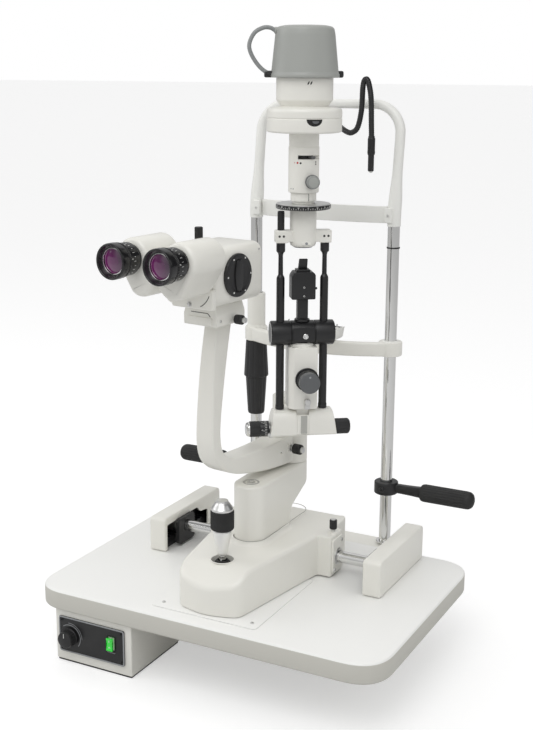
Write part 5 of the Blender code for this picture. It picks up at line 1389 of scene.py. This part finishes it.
def makeLampHousing():
    disc = lathe([(0.0440, 0.6063), (0.0462, 0.6066), (0.0480, 0.6082), (0.0480, 0.6238), (0.0472, 0.6243), (0.0472, 0.6247),
                  (0.0480, 0.6252), (0.0480, 0.6335), (0.0465, 0.6362), (0.0380, 0.6378), (0.0300, 0.6388), (0.0360, 0.6465),
                  (0.0360, 0.6700), (0.0360, 0.6735)], tower, 128, 0.0012)
    angle, top = lamp["windowAt"]
    curved = around(tower, angle, 0.0, top)
    x = np.linspace(-1, 1, 33) * lamp["window"]
    arch = -0.0001 - 0.0084 * np.sqrt(np.clip(1 - (x / lamp["window"]) ** 2, 0, 1))
    # the window is a shallow dark patch: painted shade of the opening
    window = drumPatch(x, arch, np.zeros(33), 0.0480, curved)
    inner = drumPatch(x * 0.42 + 0.0014, arch * 0.35 - 0.0022, np.full(33, -0.0020), 0.0480, curved, 0.0004, 0.00025)
    marks = []
    for x in (-0.0017, 0.0018):
        across = np.array([-0.0012, 0.0, 0.0012]) + x
        marks.append((inkBlack, drumPatch(across, np.array([-0.0024, -0.0016, 0.0002]), np.array([-0.0004, 0.0016, 0.0024]),
                                          0.0360, around(tower, -90, 0.0, 0.6676))))
    piece("lampHousing", "tower",
          [(enamelAlloy, disc), (paintedShadeBlack, window), (knobGrey, inner), *marks], ["lamp_housing"], 30)


cap = {"rim": 0.0435, "low": 0.6738, "top": 0.7372}


def makeLampCap():
    shell = lathe([(0.0400, 0.6738), (cap["rim"], 0.6738), (cap["rim"] + 0.0004, 0.6762), (cap["rim"] - 0.0002, 0.6786),
                   (0.0424, 0.6800), (0.0376, 0.7262), (0.0362, 0.7330), (0.0338, 0.7356), (0.0260, 0.7372), (0.0030, 0.7376),
                   (0.0030, 0.7270), (0.0340, 0.7262), (0.0398, 0.6780)], tower, 128, 0.0016, None, True)
    plug = lathe([(0.0032, 0.7300), (0.0032, 0.7374), (0.0024, 0.7377)], tower, 24, 0.0002)
    gland = lathe([(0.0042, -0.0030), (0.0042, 0.0018), (0.0034, 0.0026)], around(tower, 180, 0.0365, 0.7308), 32, 0.0006)
    knobs = []
    for angle, reach in ((180, 0.0085), (0, 0.0062)):
        at = around(tower, angle, 0.0428, 0.6780)
        knobs.append((blackPlastic, lathe([(0.0042, -0.0012), (0.0042, reach - 0.0012), (0.0036, reach)], at, 96, 0.0005,
                                          {"low": 0.0, "high": reach - 0.0010, "depth": 0.0005, "count": 16})))
    seam = lathe([(0.0424, 0.6790), (0.0429, 0.6790), (0.0429, 0.6794), (0.0424, 0.6794)], tower, 96, 0.00008, None, True)
    piece("lampCap", "tower", [(capGrey, shell), (capGrey, plug), (capGrey, gland), *knobs, (inkGrey, seam)],
          ["lamp_cap"], 30)


cable = {
    "radius": 0.0026,
    "route": [(-0.0378, 0.7305), (-0.0440, 0.7338), (-0.0530, 0.7338), (-0.0641, 0.7275), (-0.0705, 0.7140), (-0.0680, 0.7020),
              (-0.0601, 0.6898), (-0.0520, 0.6822), (-0.0440, 0.6780)],
}


def makeLampCable():
    route = [(x, 0.0, z) for x, z in cable["route"]]
    path = curveThrough(route, 8)
    lead = piece("lampLead", "tower", [(cableGrey, tube(path, cable["radius"], cable["radius"], tower, 20))],
                 ["lamp_cable"])
    frame["nodes"]["lamp_bulb"].data.materials[0] = bulbGlass


makeSlitBarrel()
makeSlitRing()
makeFilterBarrel()
makeLampHousing()
makeLampCap()
makeLampCable()
print("upper tower made")


# ---- head rest

rest = {"postX": 0.109, "postY": 0.199, "radius": 0.0085, "canthus": 0.441}


def makePosts():
    low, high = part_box("head_post_right")
    for word, side in (("left", -1), ("right", 1)):
        where = step(deck, side * rest["postX"], rest["postY"], 0)
        post = lathe([(0.0078, low[2] - deckTop), (rest["radius"], low[2] - deckTop + 0.0008), (rest["radius"], high[2] - deckTop)],
                     where, 72, 0.0003)
        foot = lathe([(rest["radius"] + 0.0002, 0.0001), (0.0132, 0.0001), (0.0132, 0.0016), (0.0120, 0.0024),
                      (rest["radius"] + 0.0002, 0.0024)], where, 56, 0.0004, None, True)
        nut = lathe([(rest["radius"] + 0.0002, -0.0350), (0.0135, -0.0350), (0.0135, -0.0270), (rest["radius"] + 0.0002, -0.0270)],
                    where, 6, 0.0001, None, True)
        piece(f"headPost{word.title()}", "root", [(chrome, post), (chrome, foot), (satinSteel, nut)], [f"head_post_{word}"])
    level, inner = rest["canthus"], rest["radius"] + 0.0001
    where = step(deck, rest["postX"], rest["postY"], 0)
    ring = lathe([(inner, level - 0.0010), (0.0094, level - 0.0010), (0.0094, level + 0.0010), (inner, level + 0.0010)], where, 56,
                 0.0003, None, True)
    piece("canthusRing", "root", [(blackPlastic, ring)])
    frame["nodes"]["post_bracket"].data.materials[0] = enamel


def makeHandBar(word, side):
    height = fkCentre(f"hand_bar_{word}", deckTop)[2]
    where = step(deck, side * rest["postX"], rest["postY"], height)
    clampRing = lathe([(0.0088, -0.0090), (0.0162, -0.0090), (0.0175, -0.0080), (0.0175, 0.0080), (0.0162, 0.0090), (0.0088, 0.0090)],
                      where, 72, 0.0006, None, True)
    out = step(where, 0, 0, 0, "X" if side > 0 else "-X")
    neckPath = [(0.0, 0.0, z) for z in np.linspace(0.0155, 0.0590, 14)]
    share = np.linspace(0, 1, 14)
    neck = tube(neckPath, 0.0058 + 0.0012 * share ** 2, 0.0066 + 0.0016 * share ** 2, out, 32, 0.55)
    grip = lathe([(0.0085, 0.0545), (0.0118, 0.0560), (0.0130, 0.0600), (0.0130, 0.1240), (0.0124, 0.1290), (0.0096, 0.1328),
                  (0.0050, 0.1347), (0.0008, 0.1350)], out, 160, 0.0016,
                 {"low": 0.0610, "high": 0.1235, "depth": 0.0007, "count": 20, "power": 0.5})
    boltAt = step(where, 0, -0.0172, 0, "-Y")
    bolt = lathe([(0.0040, -0.0010), (0.0040, 0.0012), (0.0032, 0.0018), (0.0018, 0.0018), (0.0016, 0.0006), (0.0004, 0.0006)], boltAt,
                 32, 0.0003)
    piece(f"handBar{word.title()}", "root",
          [(blackPlastic, clampRing), (blackPaint, neck), (blackRubber, grip), (blackPaint, bolt)], [f"hand_bar_{word}"])


archway = {"bend": 0.041, "top": 0.637, "lean": 7.5, "kink": 0.488, "low": 0.4713}


def makeHeadFrame():
    slope = math.tan(math.radians(archway["lean"]))
    bend, top = archway["bend"], archway["top"]
    a = np.radians(np.linspace(0, 90, 15))
    rise = np.concatenate([[archway["low"], 0.476, 0.482, 0.488, 0.496, 0.506, 0.525, 0.545, 0.565, 0.585],
                           top - bend + bend * np.sin(a[1:])])
    x = np.concatenate([np.full(10, rest["postX"]), rest["postX"] - bend + bend * np.cos(a[1:])])
    eased = 0.5 * (rise - archway["kink"] + np.sqrt((rise - archway["kink"]) ** 2 + 0.006 ** 2)) - 0.003 * np.exp(
        -((rise - archway["low"]) / 0.02))
    y = rest["postY"] + np.maximum(eased, 0) * slope
    half = np.stack([x, y, rise], axis=1)
    half = np.vstack([half, [[0.030, half[-1, 1], top]], [[0.0, half[-1, 1], top]]])
    full = np.vstack([half, half[-2::-1] * np.array([-1, 1, 1])])
    path = curveThrough(full, 3)
    climb = np.clip((path[:, 2] - 0.500) / 0.050, 0, 1)
    climb = climb * climb * (3 - 2 * climb)
    shell = tube(path, 0.0092 - 0.0027 * climb, 0.0092 - 0.0012 * climb, deck, 32, 0.82, (0, 1, 0.0))
    sockets = [(satinSteel, lathe([(0.0086, archway["low"] - 0.0004), (0.0089, archway["low"] - 0.0004), (0.0089, archway["low"] + 0.001),
                                   (0.0086, archway["low"] + 0.001)], step(deck, s * rest["postX"], rest["postY"], 0), 40, 0.00005, None,
                                  True)) for s in (-1, 1)]
    piece("headFrame", "root", [(whitePlastic, shell), *sockets], ["head_frame"])


def makeBrowBand():
    span = rest["postX"] - 0.0100
    x = np.linspace(-span, span, 41)
    front = 0.1965 - 0.012 * (1 - (x / span) ** 2)
    outline = np.concatenate([np.stack([x, front], axis=1), np.stack([x[::-1], front[::-1] + 0.0048], axis=1)])
    band = slab(outline, 0.4747, 0.4983, deck, 0.0006, 0.0012, 2)
    clips = []
    for s in (-1, 1):
        clips.append((whitePlastic, slab(rectangle(s * 0.1040 - 0.0055, 0.1875, s * 0.1040 + 0.0055, 0.1925), 0.4760, 0.4970, deck,
                                         0.0020, 0.0012)))
        clips.append((satinSteel, screwHead(step(deck, s * 0.1040, 0.1875, 0.4865, "-Y"), 0.0018)))
    piece("browBand", "root", [(whitePlastic, band), *clips], ["forehead_band"])


def makeChinRest():
    bottom, top = 0.286, 0.306
    bow, thick, tuck = 0.030, 0.0130, 0.0125
    edges = []
    for reach, back in ((rest["postX"], 0.0), (rest["postX"] - tuck, thick)):
        x = np.linspace(-reach, reach, 49)
        y = rest["postY"] - thick - 0.003 - bow * (1 - (x / rest["postX"]) ** 2) + back
        edges.append(np.stack([x, y], axis=1))
    # both edges are one parabola; the bar ends in the walls of the blocks, clear of the posts
    bar = slab(np.concatenate([edges[0], edges[1][::-1]]), bottom, top, deck, None, 0.0026)
    sleeveAt = step(deck, -rest["postX"], rest["postY"], 0)
    blocks = []
    for s in (-1, 1):
        at = step(deck, s * rest["postX"], rest["postY"], 0)
        hole = rest["radius"] + 0.0003
        blocks.append((enamel, lathe([(hole, bottom - 0.0002), (0.0170, bottom - 0.0002), (0.0170, top + 0.0002),
                                      (hole, top + 0.0002)], at, 72, 0.0018, None, True)))
    sleeve = lathe([(rest["radius"] + 0.0003, bottom + 0.006), (0.0135, bottom + 0.006), (0.0135, 0.3560), (0.0125, 0.3580),
                    (rest["radius"] + 0.0003, 0.3580)], sleeveAt, 64, 0.0008, None, True)
    collar = lathe([(rest["radius"] + 0.0003, top - 0.001), (0.0150, top - 0.001), (0.0138, top + 0.0030), (rest["radius"] + 0.0003,
                    top + 0.0030)], sleeveAt, 64, 0.0006, None, True)
    bush = lathe([(rest["radius"] + 0.0003, top - 0.0005), (0.0118, top - 0.0005), (0.0112, top + 0.0016),
                  (rest["radius"] + 0.0003, top + 0.0016)], step(deck, rest["postX"], rest["postY"], 0), 48, 0.0004, None, True)
    piece("chinBar", "chin_rest", [(enamel, bar), *blocks, (enamel, sleeve), (enamel, collar), (whitePlastic, bush)],
          ["chin_bar"], 30)

    seat = top + 0.0003
    s = np.linspace(-1, 1, 33)
    upper = seat + 0.0078 + 0.0100 * np.abs(s) ** 2.6
    xs = 0.0425 * s
    outline = np.concatenate([[[-0.0395, seat], [0.0395, seat]], np.stack([xs[::-1], upper[::-1]], axis=1)])
    cup = slab(outline, 0.1480, 0.1880, step(deck, 0, 0, 0, "Y"), 0.0010, 0.0020, 2)
    paper = slab(np.concatenate([np.stack([xs[2:-2], upper[2:-2] + 0.0001], axis=1),
                                 np.stack([xs[-3:1:-1], upper[-3:1:-1] + 0.0011], axis=1)]),
                 0.1505, 0.1855, step(deck, 0, 0, 0, "Y"), 0.0002, 0.0002, 1)
    pins = []
    for side in (-1, 1):
        at = step(deck, side * 0.0385, 0.1680, seat + 0.0150)
        pins.append((satinSteel, lathe([(0.0011, -0.006), (0.0011, 0.0075), (0.0006, 0.0085)], at, 20, 0.0003)))
        pins.append((whitePlastic, lathe([(0.0026, 0.0010), (0.0026, 0.0032), (0.0018, 0.0038)], at, 24, 0.0004)))
    piece("chinCup", "chin_rest", [(whitePlastic, cup), (inkWhite, paper), *pins], ["chin_cup"], 30)

    gripAt = step(deck, -rest["postX"], rest["postY"], 0)
    inner = rest["radius"] + 0.0004
    grip = lathe([(inner, 0.1700), (0.0120, 0.1700), (0.0128, 0.1730), (0.0160, 0.2270), (0.0158, 0.2284), (0.0184, 0.2292), (0.0186, 0.2310),
                  (0.0157, 0.2838), (0.0150, 0.2850), (inner, 0.2850)], gripAt, 180, 0.0008,
                 {"low": 0.1728, "high": 0.2840, "depth": 0.0016, "count": 12, "power": 0.30}, True)
    piece("chinHeightGrip", "chin_grip", [(blackPlastic, grip)], ["chin_height_grip"])


gooseneck = {
    "radius": 0.0039,
    "route": [(0.0040, 0.2186, 0.6273), (0.0040, 0.2186, 0.6210), (0.0075, 0.2146, 0.6140), (0.0200, 0.2080, 0.6050),
              (0.0372, 0.1920, 0.5995), (0.0465, 0.1890, 0.5988), (0.0557, 0.1870, 0.6066), (0.0608, 0.1870, 0.6298),
              (0.0622, 0.1870, 0.6610), (0.0652, 0.1870, 0.6706), (0.0698, 0.1870, 0.6680), (0.0745, 0.1870, 0.6470),
              (0.0760, 0.1870, 0.6130), (0.0768, 0.1870, 0.5930)],
}


def makeFixationLight():
    path = curveThrough(gooseneck["route"], 10)
    run = np.concatenate([[0], np.cumsum(np.linalg.norm(np.diff(path, axis=0), axis=1))])
    ribs = gooseneck["radius"] - 0.00030 + 0.00030 * np.abs(np.sin(run * math.pi / 0.0030))
    even = np.linspace(0, run[-1], 640)
    path = np.stack([np.interp(even, run, path[:, k]) for k in range(3)], axis=1)
    ribs = gooseneck["radius"] - 0.00035 + 0.00035 * np.abs(np.sin(even * math.pi / 0.0028)) ** 0.6
    neck = tube(path, ribs, ribs, deck, 20, 1.0, (0.15, 1.0, 0.35))
    head = step(deck, 0.0768, 0.1870, 0)
    sleeve = lathe([(0.0030, 0.5960), (0.0044, 0.5950), (0.0046, 0.5925), (0.0052, 0.5915), (0.0052, 0.5705), (0.0046, 0.5690)], head, 48,
                   0.0006)
    collar = lathe([(0.0054, 0.5745), (0.0054, 0.5715), (0.0050, 0.5708)], head, 48, 0.0003)
    pipe = lathe([(0.0042, 0.5700), (0.0042, 0.5476), (0.0038, 0.5470)], head, 40, 0.0004)
    tip = lathe([(0.0030, 0.5474), (0.0029, 0.5458), (0.0018, 0.5449)], head, 32, 0.0005)
    seat = lathe([(0.0062, 0.6276), (0.0062, 0.6246), (0.0052, 0.6231)], step(deck, 0.0040, 0.2186, 0), 40, 0.0005)
    piece("fixationLight", "fixation",
          [(blackPaint, neck), (blackPaint, sleeve), (blackPaint, collar), (blackPlastic, pipe), (inkWhite, tip), (blackPaint, seat)],
          ["fixation_light"])


makePosts()
makeHandBar("left", -1)
makeHandBar("right", 1)
makeHeadFrame()
makeBrowBand()
makeChinRest()
makeFixationLight()
frame["nodes"]["transformer"].data.materials[0] = coilSteel
print("head rest made")
